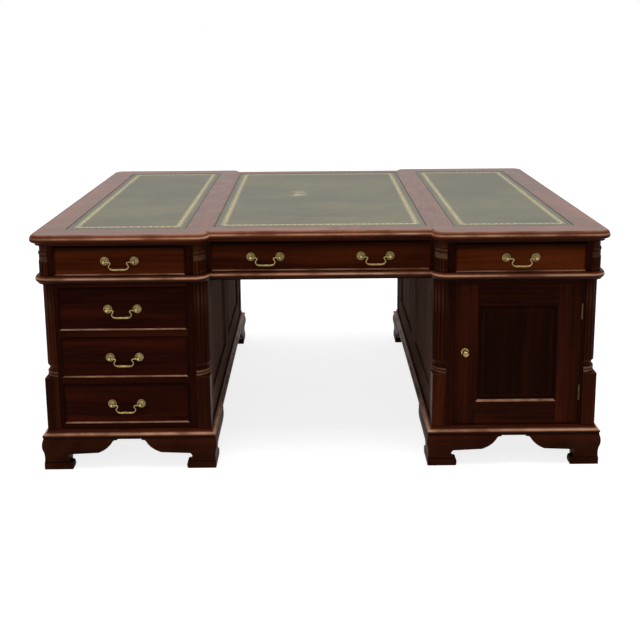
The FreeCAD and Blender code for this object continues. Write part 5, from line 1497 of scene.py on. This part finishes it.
@dataclass
class Pedestal:
    """One pedestal; the right one is made, and half a turn gives the left one."""

    side: str = "right"
    inner_block: float = 359.0
    outer_block: float = 890.0
    block: float = 43.0
    block_y: float = BLOCK_Y
    face_y: float = FACE_Y
    inner_face: float = 364.0
    outer_face: float = 885.0
    board: float = 22.0
    opening_inner: float = 427.0
    opening_outer: float = 835.0
    base_z: float = 131.0
    bottom_z: float = 143.0
    top_board_z: float = 609.0
    top_z: float = 622.0
    foot_z: float = 104.0
    side_stile: float = 80.0
    half_middle_stile: float = 50.0
    panel_low: float = 212.0
    panel_high: float = 560.0
    panel: float = 9.0
    panel_inset: float = 7.0
    tongue: float = 6.0
    door_sill: float = 136.0
    drawer_sill: float = 151.0
    rails: tuple = (286.0, 444.5)
    rail: float = 22.5
    rail_depth: float = 60.0
    half_divider: float = 9.0
    runner: float = 18.0
    guide: float = 30.0
    cleat: float = 15.0
    shelf_z: float = 368.0
    shelf_thick: float = 16.0
    shelf_back: float = 40.0
    slack: float = 0.3
    stop_lap: float = 10.0
    stop_thick: float = 12.0
    block_height: float = 178.0

    def build(self) -> None:
        """Builds the pedestal's pieces."""
        right = self.side == "right"
        seed = Log.RIGHT_PEDESTAL if right else Log.LEFT_PEDESTAL
        case, infill = f"{self.side}_pedestal_case", "pedestal_side_panels"
        near, far = self.inner_face + self.panel_inset, self.outer_face - self.panel_inset - self.panel
        for name, surface, finish, node in (
            ("face_boards", self.face_boards(seed + 1), Finish.FACE, case),
            ("kneehole_frame", self.side_frame(self.inner_face, seed + 9), Finish.SIDE, case),
            ("end_frame", self.side_frame(self.outer_face - self.board, seed + 10), Finish.FACE, case),
            ("inner_boards", self.inner_boards(seed + 2), Finish.INSIDE, case),
            ("kneehole_panels", self.panels(near, seed + 3), Finish.SIDE, infill),
            ("end_panels", self.panels(far, seed + 11), Finish.FACE, infill),
            ("corner_posts", self.posts(seed + 4), Finish.POST, "pedestal_posts"),
            ("base_roll", self.base(seed + 5), Finish.MOULDING, "base_mouldings"),
            ("ogee_feet", self.feet(seed + 6), Finish.FOOT, "bracket_feet"),
            ("foot_blocks", self.foot_blocks(seed + 7), Finish.INSIDE, "bracket_feet"),
            ("shelf", self.shelf(seed + 8), Finish.INSIDE, "cupboard_shelves"),
        ):
            placed = surface if right else surface.half_turned()
            fit(f"{self.side}_{name}", placed, finish, CARCASE, node)

    @property
    def stile_inner(self) -> float:
        """X where the inner post ends."""
        return self.inner_block + self.block

    @property
    def stile_outer(self) -> float:
        """X where the outer post starts."""
        return self.outer_block - self.block

    @property
    def post_y(self) -> float:
        """Y where the posts end."""
        return self.block_y - self.block

    def side_frame(self, x0: float, seed: int) -> Surface:
        """The rails and stiles of one side.

        Args:
            x0: Lower X of the side.
            seed: Picks the places in the log.

        Returns:
            The five boards.
        """
        x1, back, stile, middle = x0 + self.board, self.post_y, self.side_stile, self.half_middle_stile
        low, high = self.panel_low, self.panel_high
        boxes = [(x0, x1, -back, back, self.base_z, low), (x0, x1, -back, back, high, self.top_z)]
        stiles = ((-back, stile - back), (-middle, middle), (back - stile, back))
        boxes += [(x0, x1, y0, y1, low, high) for y0, y1 in stiles]
        return boards(boxes, [Grain.Y] * 2 + [Grain.Z] * 3, seed, 0.8)

    def face_boards(self, seed: int) -> Surface:
        """The stiles and rails of the two working faces.

        Args:
            seed: Picks the places in the log.

        Returns:
            The boards.
        """
        boxes, grain = [], []
        for sign, sill in ((-1, self.door_sill), (1, self.drawer_sill)):
            face, behind = sign * self.face_y, sign * (self.face_y - self.board)
            for x0, x1 in ((self.stile_inner, self.opening_inner), (self.opening_outer, self.stile_outer)):
                boxes.append((x0, x1, face, behind, self.base_z, self.top_z))
                grain.append(Grain.Z)
            for z0, z1 in ((self.top_board_z, self.top_z), (self.base_z, sill)):
                boxes.append((self.opening_inner, self.opening_outer, face, behind, z0, z1))
                grain.append(Grain.X)
        behind = self.face_y - self.rail_depth
        for z in self.rails:
            boxes.append((self.opening_inner, self.opening_outer, self.face_y, behind, z, z + self.rail))
            grain.append(Grain.X)
        return boards(boxes, grain, seed, 0.8)

    def inner_boards(self, seed: int) -> Surface:
        """Bottom, top, divider, runners, guides, cleats and the door's stop.

        Args:
            seed: Picks the places in the log.

        Returns:
            The boards.
        """
        x0, x1 = self.inner_face + self.board, self.outer_face - self.board
        back, behind = self.post_y, self.face_y - self.board
        boxes, grain = [], []
        for z0, z1 in ((self.base_z, self.bottom_z), (self.top_board_z, self.top_z)):
            boxes.append((x0, x1, -back, back, z0, z1))
            boxes += [(self.stile_inner, self.stile_outer, s * back, s * behind, z0, z1) for s in (-1, 1)]
            grain += [Grain.Y, Grain.X, Grain.X]
        middle, left, right = self.half_divider, self.opening_inner, self.opening_outer
        boxes.append((x0, x1, -middle, middle, self.bottom_z, self.top_board_z))
        grain.append(Grain.X)
        seats = [(self.drawer_sill, self.bottom_z, back)]
        seats += [(z + self.rail, z, self.face_y - self.rail_depth) for z in self.rails]
        for z, under, start in seats:
            boxes += [
                (x0, left + self.runner, middle, start, under, z),
                (right - self.runner, x1, middle, start, under, z),
                (x0, left, middle, back, z, z + self.guide),
                (right, x1, middle, back, z, z + self.guide),
            ]
            grain += [Grain.Y] * 4
        start, under, thick = self.shelf_back - behind, self.shelf_z - self.cleat, self.cleat
        boxes += [
            (x0, x0 + thick, start, -middle, under, self.shelf_z),
            (x1 - thick, x1, start, -middle, under, self.shelf_z),
        ]
        stop, stop_y = left + self.stop_lap, self.stop_thick - behind
        boxes.append((self.stile_inner, stop, -behind, stop_y, self.bottom_z, self.top_board_z))
        grain += [Grain.Y, Grain.Y, Grain.Z]
        return boards(boxes, grain, seed)

    def panels(self, x0: float, seed: int) -> Surface:
        """The two flat panels of one side, with their tongues in the frame.

        Args:
            x0: Lower X of the panels.
            seed: Picks the places in the log.

        Returns:
            The two boards.
        """
        x1, tongue = x0 + self.panel, self.tongue
        start, end = self.half_middle_stile - tongue, self.post_y - self.side_stile + tongue
        low, high = self.panel_low - tongue, self.panel_high + tongue
        boxes = [(x0, x1, y0, y1, low, high) for y0, y1 in ((-end, -start), (start, end))]
        return boards(boxes, [Grain.Z] * 2, seed)

    def shelf(self, seed: int) -> Surface:
        """The cupboard's shelf.

        Args:
            seed: Picks the place in the log.

        Returns:
            The board.
        """
        x0, x1 = self.inner_face + self.board + self.slack, self.outer_face - self.board - self.slack
        y0, y1 = self.board + self.shelf_back - self.face_y, -self.half_divider - self.slack
        box = (x0, x1, y0, y1, self.shelf_z, self.shelf_z + self.shelf_thick)
        return boards([box], [Grain.X], seed, 1.5)

    def posts(self, seed: int) -> Surface:
        """Four corner posts: a square block, two rings, a scoop and a fluted shaft.

        Args:
            seed: Picks the places in the log.

        Returns:
            The posts in one surface.
        """
        block_top = self.base_z + self.block_height
        radius = self.block - 1.0
        core = radius - 4.0
        scoop = block_top + 20.0
        shaft = block_top + 40.0
        profile = profile_of(
            arc((core, block_top), (radius, block_top + 5.0), (core, block_top + 10.0), 9),
            arc((core, block_top + 10.0), (radius, block_top + 15.0), (core, scoop), 9)[1:],
            arc((core, scoop), (core - 2.0, scoop + 8.0), (radius, shaft), 9)[1:],
            np.column_stack([np.full(4, radius), shaft + np.array([1.0, 3.0, 5.0, 8.0])]),
            np.column_stack([np.full(5, radius), np.linspace(shaft + 30.0, self.top_z, 5)]),
        )
        fluted = np.clip((profile[:, 1] - shaft) / 4.0, 0.0, 1.0)
        plain = np.zeros(len(profile))
        maker = QuarterColumn()
        # Painted highlights on the crowns of the two rings.
        rubbed = maker.ring_highlights(profile, (block_top + 6.5, block_top + 16.5))
        size, first = self.block, 10 * seed
        parts = []
        for index, (sx, sy) in enumerate(FRONT_FIRST):
            x, y = self.stile_outer if sx > 0 else self.stile_inner, sy * self.post_y
            column = maker.shape(profile, fluted, plain, rubbed, first + index)
            parts.append(column.scaled(sx, sy, 1).moved(x, y, 0))
            box = (x, x + sx * size, y, y + sy * size, self.base_z, block_top)
            block = boards([box], [Grain.Z], first + 5 + index, 1.2)
            parts.append(replace(block, wear=0.3 * block.wear))
        return joined(parts)

    def base(self, seed: int) -> Surface:
        """The base moulding: a step, a torus and a cove above each other, round the pedestal.

        Args:
            seed: Picks the place in the log.

        Returns:
            The moulding.
        """
        low, high = self.foot_z, self.base_z
        torus = low + 6.0
        profile = profile_of(
            (-60.0, low),
            (13.5, low),
            (13.5, torus),
            arc((12.0, torus), (15.5, torus + 4.5), (12.0, torus + 9.0), 11),
            arc((10.2, torus + 9.0), (4.1, torus + 12.7), (2.0, high - 1.5), 9),
            (2.0, high),
            (-60.0, high),
        )
        path, outward = oblong(self.inner_block, self.outer_block, -self.block_y, self.block_y)
        # Painted highlight along the top of the torus and painted shade on the step below it.
        return swept(path, outward, profile, seed, worn_and_lit=1.2 * roll_highlight_and_shade(profile, torus + 9.6, 2.0))

    def feet(self, seed: int) -> Surface:
        """Four ogee corner feet.

        At each height the foot is an L in plan: its outer sides stand out by the ogee section, and its ends
        follow the bracket's outline, so both are functions of the height alone.

        Args:
            seed: Picks the places in the log.

        Returns:
            The feet in one surface.
        """
        outline = profile_of(
            (95.5, 0.0),
            arc((97.0, 1.0), (99.0, 12.0), (96.0, 24.0), 9),
            (89.0, 25.5),
            arc((85.0, 28.0), (81.5, 36.0), (89.0, 52.0), 11),
            (112.0, 53.2),
            (150.0, 55.0),
            arc((183.0, 56.5), (209.5, 73.0), (230.0, 96.5), 11),
            (232.6, 98.6),
            (236.4, 100.4),
            (244.0, 101.0),
            (244.5, 101.5),
            (244.5, 104.0),
        )
        section = profile_of(
            (13.0, 0.0),
            (14.0, 1.0),
            (14.0, 22.5),
            (13.6, 23.8),
            arc((13.0, 24.4), (12.0, 40.0), (14.0, 60.0), 11),
            arc((14.0, 60.0), (18.0, 82.0), (14.0, 104.0), 15)[1:],
        )
        height = np.unique(np.concatenate([outline[:, 1], section[:, 1]]))
        reach = np.interp(height, section[:, 1], section[:, 0])
        end = np.interp(height, outline[:, 1], outline[:, 0]) - 18.0
        ease, inside = 1.2, np.full(len(height), 14.0)
        corners = [
            (end - ease, -reach),
            (end, ease - reach),
            (end, inside),
            (inside, inside),
            (inside, end),
            (ease - reach, end),
            (-reach, end - ease),
            (-reach, ease - reach),
            (ease - reach, -reach),
        ]
        plan = np.stack([np.stack(corner, 1) for corner in corners], 1)
        points = raised(plan, height[:, None])
        grain = np.stack([plan[..., 0] - plan[..., 1], points[..., 2], plan.min(2)], -1)
        pad = np.clip(1.0 - np.abs(height - 24.6) / 2.0, 0.0, 1.0)
        arris = np.array([0.7, 0.7, 0.0, 0.0, 0.0, 0.7, 0.7, 1.0, 1.0])
        wear = np.clip(arris - 1.6 * pad[:, None], -1.0, 1.0)
        parts = []
        for index, (sx, sy) in enumerate(CORNERS):
            foot = netted(points, grain + log_places(1, seed * 10 + index), wear, True)
            x = self.inner_block if sx > 0 else self.outer_block
            parts.append(foot.scaled(sx, sy, 1).moved(x, -sy * self.block_y, 0))
        return joined(parts)

    def foot_blocks(self, seed: int) -> Surface:
        """The glue blocks behind the feet.

        Args:
            seed: Picks the places in the log.

        Returns:
            The blocks.
        """
        inset, size, lift = 14.0, 45.0, 3.0
        boxes = []
        for x, sx in ((self.inner_block, 1), (self.outer_block, -1)):
            for sy in (-1, 1):
                x0, y0 = x + sx * inset, sy * (self.block_y - inset)
                boxes.append((x0, x0 + sx * size, y0, y0 - sy * size, lift, self.foot_z))
        return boards(boxes, [Grain.Z] * 4, seed, 1.5)


@dataclass
class SwanNeckHandle:
    """A handle: two roses with ball posts, and a drop bail that swings between them."""

    spacing: float = 93.0
    reach: float = 17.0
    rod_radius: float = 2.1
    grip_swell: float = 1.4
    grip_half: float = 30.0
    collar_x: float = 27.0

    def roses(self, x: float, z: float, face_y: float) -> Surface:
        """Two turned roses, their ball posts and the nuts inside the drawer.

        Args:
            x: X of the handle's middle.
            z: Height of the posts.
            face_y: Distance of the drawer's face from the desk's middle.

        Returns:
            The turned pieces, on the front face.
        """
        profile = profile_of(
            (0.0, 0.0),
            (14.5, 0.0),
            (14.5, 1.0),
            (14.1, 1.7),
            arc((13.8, 1.9), (12.4, 2.7), (11.0, 1.9), 7),
            (10.7, 1.5),
            (10.0, 1.5),
            arc((9.8, 1.7), (7.9, 2.5), (6.4, 4.2), 7),
            [(5.6, 4.3), (5.3, 5.2), (4.2, 5.5), (3.3, 6.6)],
            [(3.0, 9.0), (3.1, 11.4), (4.2, 11.7), (4.2, 12.3)],
            arc((3.5, 12.7), (5.5, 17.0), (0.0, 22.5), 13),
        )
        turned = lathe(profile)
        far = np.linalg.norm(turned.points[:, :2], axis=1)
        # Dark in the dish's groove as patina; the dark outer rim is painted shade and the bright boss a
        # painted highlight.
        radii = (0.0, 4.0, 6.0, 9.5, 10.4, 12.4, 13.6, 14.5)
        worn_and_lit = (1.0, 1.0, 0.0, -0.3, -1.0, 0.2, -0.5, -1.0)
        turned = replace(turned, wear=np.interp(far, radii, worn_and_lit))
        nut = profile_of(
            [(0.0, -25.0), (2.0, -25.0), (2.0, -23.5)],
            [(4.0, -23.5), (4.4, -23.0), (4.4, -20.0), (0.0, -20.0)],
        )
        pair = []
        for side in (-1, 1):
            place = (x + side * self.spacing / 2.0, -face_y, z)
            pair += [turned.stood_up().moved(*place), lathe(nut, 6).stood_up().moved(*place)]
        return joined(pair)

    def bail(self, x: float, z: float, face_y: float) -> Surface:
        """The drop bail.

        Straight runs between the bends are sampled evenly and smoothed with a bell-shaped window, and the
        rod's radius swells along the grip and at the two small collars beside it.

        Args:
            x: X of the handle's middle.
            z: Height of the posts.
            face_y: Distance of the drawer's face from the desk's middle.

        Returns:
            The rod, on the front face.
        """
        neck = [(0.0, 0.0), (20.0, 0.0), (22.5, -3.0), (14.0, -13.0), (17.0, -20.5), (25.0, -24.5)]
        left = np.array(neck) - (self.spacing / 2.0, 0.0)
        turns = np.concatenate([left, left[::-1] * (-1.0, 1.0)])
        length = run_lengths(turns)
        even = np.linspace(0.0, length[-1], 161)
        line = np.stack([np.interp(even, length, column) for column in turns.T], 1)
        window = np.exp(-0.5 * (np.arange(-9, 10) / 4.0) ** 2)
        window /= window.sum()
        padded = np.concatenate([2.0 * line[:1] - line[9:0:-1], line, 2.0 * line[-1:] - line[-2:-11:-1]])
        sideways, drop = (np.convolve(column, window, "valid") for column in padded.T)
        across, low = np.abs(sideways), drop < -21.0
        swell = self.grip_swell * np.sqrt(np.maximum(1.0 - (across / self.grip_half) ** 2, 0.0))
        collar = 0.7 * np.exp(-(((across - self.collar_x) / 1.3) ** 2))
        radius = self.rod_radius + np.where(low, swell + collar, 0.0)
        return rod(np.stack([sideways + x, np.full(len(drop), -face_y - self.reach), drop + z], 1), radius)


@dataclass
class Drawer:
    """One drawer of a working face, made for the front."""

    name: str
    x0: float
    x1: float
    z0: float
    z1: float
    face_y: float
    handles: tuple
    back_y: float = 30.0
    thick: float = 20.0
    wall: float = 12.0
    side_gap: float = 1.0
    seat_gap: float = 0.3
    top_gap: float = 1.5
    side_drop: float = 8.0
    floor_lift: float = 8.0
    floor_thick: float = 7.0

    def build(self, face: Face, seed: int) -> None:
        """Builds the drawer's pieces on a face.

        Args:
            face: Which working face.
            seed: Picks the places in the log.
        """
        body = f"{face.name.lower()}_{self.name}"
        # Frieze drawers take the painted-light copy of the drawer finish.
        finish = Finish.FRIEZE if "frieze" in self.name else Finish.DRAWER
        sill, rest = self.bead(seed + 1)
        fit(f"{body}.front", joined([self.front(seed), rest]).on_face(face), finish, body, body)
        fit(f"{body}.sill_bead", sill.on_face(face), Finish.MOULDING, body, body)
        fit(f"{body}.box", self.box(seed + 2).on_face(face), Finish.LINING, body, body)
        handle = SwanNeckHandle()
        middle = (self.z0 + self.z1) / 2.0
        roses = joined([handle.roses(x, middle, self.face_y) for x in self.handles]).on_face(face)
        fit(f"{body}.roses", roses, Finish.BRASS, body, f"{body}_roses")
        sides = ("left_", "right_") if len(self.handles) > 1 else ("",)
        for side, x in zip(sides, self.handles):
            bail = f"{body}_{side}bail"
            drop = handle.bail(x, middle, self.face_y).on_face(face)
            fit(f"{bail}.drop", drop, Finish.BRASS, bail, bail)

    @property
    def limits(self) -> tuple:
        """Left, right, bottom and top of the drawer's front."""
        gap = self.side_gap
        return self.x0 + gap, self.x1 - gap, self.z0 + self.seat_gap, self.z1 - self.top_gap

    def front(self, seed: int) -> Surface:
        """The front board.

        Args:
            seed: Picks the place in the log.

        Returns:
            The board.
        """
        left, right, bottom, top = self.limits
        box = (left, right, -self.face_y, self.thick - self.face_y, bottom, top)
        return boards([box], [Grain.X], seed, 0.5)

    def bead(self, seed: int) -> list[Surface]:
        """The cock bead: a rounded strip round the edge of the front, as sill with a painted highlight and
        rest in painted shade.
        """
        profile = profile_of(
            (0.0, -1.0),
            arc((0.0, 1.4), (-0.45, 2.5), (-1.5, 3.0), 5),
            arc((-3.5, 3.0), (-4.55, 2.5), (-5.0, 1.4), 5),
            (-5.0, -1.0),
        )
        return framed(self.limits, profile, self.face_y, seed)

    def box(self, seed: int) -> Surface:
        """Sides, back and bottom.

        Args:
            seed: Picks the places in the log.

        Returns:
            The four boards.
        """
        left, right, bottom, top = self.limits
        near, far, high = self.thick - self.face_y, -self.back_y, top - self.side_drop
        wall, low = self.wall, bottom + self.floor_lift
        seat = low + self.floor_thick
        boxes = [
            (left, left + wall, near, far, bottom, high),
            (right - wall, right, near, far, bottom, high),
            (left + wall, right - wall, far - wall, far, seat, high),
            (left + wall, right - wall, near, far, low, seat),
        ]
        return boards(boxes, [Grain.Y, Grain.Y, Grain.X, Grain.X], seed, 1.0)


@dataclass
class CupboardDoor:
    """A framed door with a raised panel, made for the front."""

    left: float = 428.5
    right: float = 833.5
    bottom: float = 137.5
    top: float = 607.5
    face_y: float = FACE_Y
    thick: float = 21.7
    stile: float = 72.0
    top_rail: float = 67.0
    bottom_rail: float = 74.0
    knob_x: float = 462.5
    knob_z: float = 383.0

    def build(self, face: Face, seed: int) -> None:
        """Builds the door's pieces on a face.

        Args:
            face: Which working face.
            seed: Picks the places in the log.
        """
        body = f"{face.name.lower()}_door"
        sill, rest = self.ovolo(seed + 5)
        frame_boards = joined([self.frame(seed), rest]).on_face(face)
        fit(f"{body}.frame", frame_boards, Finish.FACE, body, f"{body}_frame")
        fit(f"{body}.sill_ovolo", sill.on_face(face), Finish.MOULDING, body, f"{body}_frame")
        fit(f"{body}.panel", self.panel(seed + 6).on_face(face), Finish.DARK, body, f"{body}_panel")
        fit(f"{body}.knob", self.knob().on_face(face), Finish.BRASS, body, f"{body}_knob")

    @property
    def opening(self) -> tuple:
        """The panel's opening as x0, x1, z0, z1."""
        return (
            self.left + self.stile,
            self.right - self.stile,
            self.bottom + self.bottom_rail,
            self.top - self.top_rail,
        )

    def frame(self, seed: int) -> Surface:
        """Two stiles and two rails; the hanging stile has a rounder arris beside the hinges.

        Args:
            seed: Picks the places in the log.

        Returns:
            The four boards.
        """
        x0, x1, z0, z1 = self.opening
        front, back = -self.face_y, self.thick - self.face_y
        hanging = boards([(x1, self.right, front, back, self.bottom, self.top)], [Grain.Z], seed, 2.8)
        rest = [
            (self.left, x0, front, back, self.bottom, self.top),
            (x0, x1, front, back, self.bottom, z0),
            (x0, x1, front, back, z1, self.top),
        ]
        return joined([hanging, boards(rest, [Grain.Z, Grain.X, Grain.X], seed + 1, 0.8)])

    def ovolo(self, seed: int) -> list[Surface]:
        """The small moulding round the inside of the frame, as sill with a painted highlight and rest in
        painted shade.

        Args:
            seed: Picks the places in the log.

        Returns:
            The two surfaces.
        """
        bow = arc((-0.6, -0.6), (-4.0, -2.2), (-6.0, -6.0), 7)
        profile = profile_of((0.5, -9.0), (0.5, -0.6), bow, (-6.0, -9.0))
        return framed(self.opening, profile, self.face_y, seed)

    def panel(self, seed: int) -> Surface:
        """The raised panel: flat tongue, hollow bevel, small step and flat field, as nested oblongs.

        Args:
            seed: Picks the place in the log.

        Returns:
            The panel.
        """
        x0, x1, z0, z1 = self.opening
        drawn = profile_of(
            [(-6.0, -15.0), (-6.0, -9.0)],
            arc((1.0, -9.0), (11.0, -7.4), (18.0, -4.4), 7),
            [(18.0, -3.2), (18.6, -3.0), (24.0, -3.0)],
        )
        path, outward = oblong(x0, x1, z0, z1)
        plan = path - outward * drawn[:, None, :1]
        points = raised(plan, drawn[:, 1:])
        # The field's step: darker in the quirk at its foot, and a pale arris that is partly rubbing and
        # partly a painted highlight.
        worn_and_lit = np.zeros(len(drawn))
        worn_and_lit[-4:] = (-0.7, 0.9, 0.6, 0.0)
        wear = np.broadcast_to(worn_and_lit[:, None], plan.shape[:2])
        surface = netted(points, points, wear, True).stood_up().moved(0.0, -self.face_y, 0.0)
        return surface.grained(Grain.Z, seed)

    def knob(self) -> Surface:
        """The turned knob on its plate."""
        profile = profile_of(
            [(0.0, 0.0), (12.5, 0.0), (12.5, 1.2), (11.6, 2.0), (9.0, 2.2), (7.0, 2.8)],
            [(5.2, 4.0), (4.9, 6.5), (5.6, 8.4)],
            arc((7.4, 9.2), (11.5, 18.0), (0.0, 29.5), 17),
        )
        return lathe(profile).stood_up().moved(self.knob_x, -self.face_y, self.knob_z)


@dataclass
class Studio:
    """Floor, light and camera."""

    focal: float = 846.07
    centre_y: float = 170.0
    picture: float = 640.0
    place: tuple = (-0.01705, -3.16411, 1.41238)
    yaw: float = 0.00671
    pitch: float = 0.16555
    roll: float = -0.00705

    def build(self) -> None:
        """Builds the surroundings."""
        self.camera()
        self.world()
        self.floor()
        self.lamp("overhead", (0.0, -0.3, 3.1), (0.0, 0.0, 0.4), (3.6, 2.4), 85.0)
        self.lamp("strip", (0.0, -0.8, 2.7), (0.0, -0.5, 0.5), (2.8, 0.15), 8.0)
        self.lamp("front_fill", (-1.6, -4.0, 2.3), (0.0, 0.0, 0.45), (2.6, 2.0), 12.0)

    @staticmethod
    def backdrop_rays(bench: Bench) -> Socket:
        """1 for the rays that show the white surround.

        Args:
            bench: The tree's bench.

        Returns:
            A socket that is 1 for the camera's rays, mirrored ones and those through glass.
        """
        rays = bench.node("ShaderNodeLightPath").outputs
        seen = bench.calc("MAXIMUM", rays["Is Camera Ray"], rays["Is Glossy Ray"])
        return bench.calc("MAXIMUM", seen, rays["Is Transmission Ray"])

    def camera(self) -> None:
        """The photograph's camera: yaw about Z, then pitch down, then roll about the view."""
        across, down = math.sin(self.yaw), math.sin(self.pitch)
        level = math.cos(self.pitch)
        ahead = Vector((across * level, math.cos(self.yaw) * level, -down))
        right = Vector((math.cos(self.yaw), -across, 0.0))
        up = right.cross(ahead)
        turn_right = right * math.cos(self.roll) + up * math.sin(self.roll)
        turn_up = up * math.cos(self.roll) - right * math.sin(self.roll)
        data = bpy.data.cameras.new("camera")
        data.sensor_width = 36.0
        data.lens = self.focal / self.picture * data.sensor_width
        data.shift_y = (self.centre_y - self.picture / 2.0) / self.picture
        camera = bpy.data.objects.new("camera", data)
        axes = Matrix((turn_right, turn_up, -ahead)).transposed().to_4x4()
        camera.matrix_world = Matrix.Translation(self.place) @ axes
        bpy.context.scene.collection.objects.link(camera)
        bpy.context.scene.camera = camera

    def world(self) -> None:
        """A white surround to see, and a soft one, brighter above and behind, for the light."""
        world = bpy.data.worlds.new("studio")
        world.use_nodes = True
        bench = Bench(world.node_tree)
        background = world.node_tree.nodes["Background"]
        aim = bench.split(bench.place("Generated"))
        behind = bench.band(aim[1], -0.6, 0.9)
        above = bench.band(aim[2], -0.1, 0.9)
        soft = bench.calc("MULTIPLY_ADD", behind, 0.12, bench.calc("MULTIPLY_ADD", above, 0.25, 0.06))
        bench.feed(background.inputs["Color"], (1.0, 1.0, 1.0, 1.0))
        bench.feed(background.inputs["Strength"], bench.calc("MAXIMUM", self.backdrop_rays(bench), soft))
        bpy.context.scene.world = world

    def floor(self) -> None:
        """A pale floor that keeps the desk's shadow and runs into the white surround."""
        reach = 30.0
        corners = [(-reach, -reach, 0.0), (reach, -reach, 0.0), (reach, reach, 0.0), (-reach, reach, 0.0)]
        mesh = bpy.data.meshes.new("floor")
        mesh.from_pydata(corners, [], [(0, 1, 2, 3)])
        material, bench, shader = blank_material("pale_floor")
        place = bench.place()
        grey = bench.band(bench.noise(place, 3.0), 0.3, 0.7, 0.48, 0.52)
        pale = bench.node("ShaderNodeCombineColor", {0: grey, 1: grey, 2: grey}).outputs[0]
        bench.feed(shader.inputs["Base Color"], pale)
        shader.inputs["Roughness"].default_value = 0.9
        shader.inputs["Specular IOR Level"].default_value = 0.0
        shader.inputs["Emission Color"].default_value = (1.0, 1.0, 1.0, 1.0)
        fade = bench.band(bench.distance(place), 0.8, 3.0, 0.82, 1.0)
        glow = bench.calc("MULTIPLY", self.backdrop_rays(bench), fade)
        bench.feed(shader.inputs["Emission Strength"], glow)
        mesh.materials.append(material)
        floor = bpy.data.objects.new("floor", mesh)
        bpy.context.scene.collection.objects.link(floor)

    def lamp(self, name: str, place: tuple, target: tuple, size: tuple, power: float) -> None:
        """A soft box.

        Args:
            name: Its name.
            place: Where it hangs, in metres.
            target: What it points at.
            size: Its width and height.
            power: Its power in watts.
        """
        data = bpy.data.lights.new(name, "AREA")
        data.shape = "RECTANGLE"
        data.size, data.size_y = size
        data.energy = power
        lamp = bpy.data.objects.new(name, data)
        lamp.location = place
        lamp.rotation_euler = (Vector(target) - Vector(place)).to_track_quat("-Z", "Y").to_euler()
        bpy.context.scene.collection.objects.link(lamp)


def face_drawers() -> list[Drawer]:
    """The six drawers of the front face."""
    frieze, middle = FACE_Y, FACE_Y - BREAK_DEPTH
    return [
        Drawer("left_frieze_drawer", -842.0, -425.0, 648.0, 743.0, frieze, (-633.5,)),
        Drawer("centre_frieze_drawer", -351.0, 351.0, 648.0, 743.0, middle, (-176.0, 176.0)),
        Drawer("right_frieze_drawer", 425.0, 842.0, 648.0, 743.0, frieze, (633.5,)),
        Drawer("upper_drawer", -835.0, -427.0, 467.0, 609.0, frieze, (-631.0,), 29.0),
        Drawer("middle_drawer", -835.0, -427.0, 308.5, 444.5, frieze, (-631.0,), 29.0),
        Drawer("lower_drawer", -835.0, -427.0, 151.0, 286.0, frieze, (-631.0,), 29.0),
    ]


def dress_hinges() -> None:
    """Gives the hinges, which keep their CAD shape, their finish."""
    for node in ("hinge_fixed_leaves", "front_door_hinge_leaves", "rear_door_hinge_leaves"):
        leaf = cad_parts[node]
        leaf.data.materials.clear()
        leaf.data.materials.append(material_of(Finish.AGED_BRASS))
        LOG.info("%s: aged brass", node)


def main() -> None:
    """Builds the desk, sub-assembly by sub-assembly, and its surroundings."""
    logging.basicConfig(level=logging.INFO, format="%(message)s")
    bpy.context.scene.view_settings.view_transform = "Standard"
    Studio().build()
    WritingTop().build()
    Frieze().build()
    for side in ("left", "right"):
        Pedestal(side).build()
    for turn, face in enumerate(Face):
        for index, drawer in enumerate(face_drawers()):
            drawer.build(face, Log.DRAWERS + FACE_STEP * turn + DRAWER_STEP * index)
        CupboardDoor().build(face, Log.DOORS + FACE_STEP * turn)
    dress_hinges()


if __name__ == "__main__":
    main()
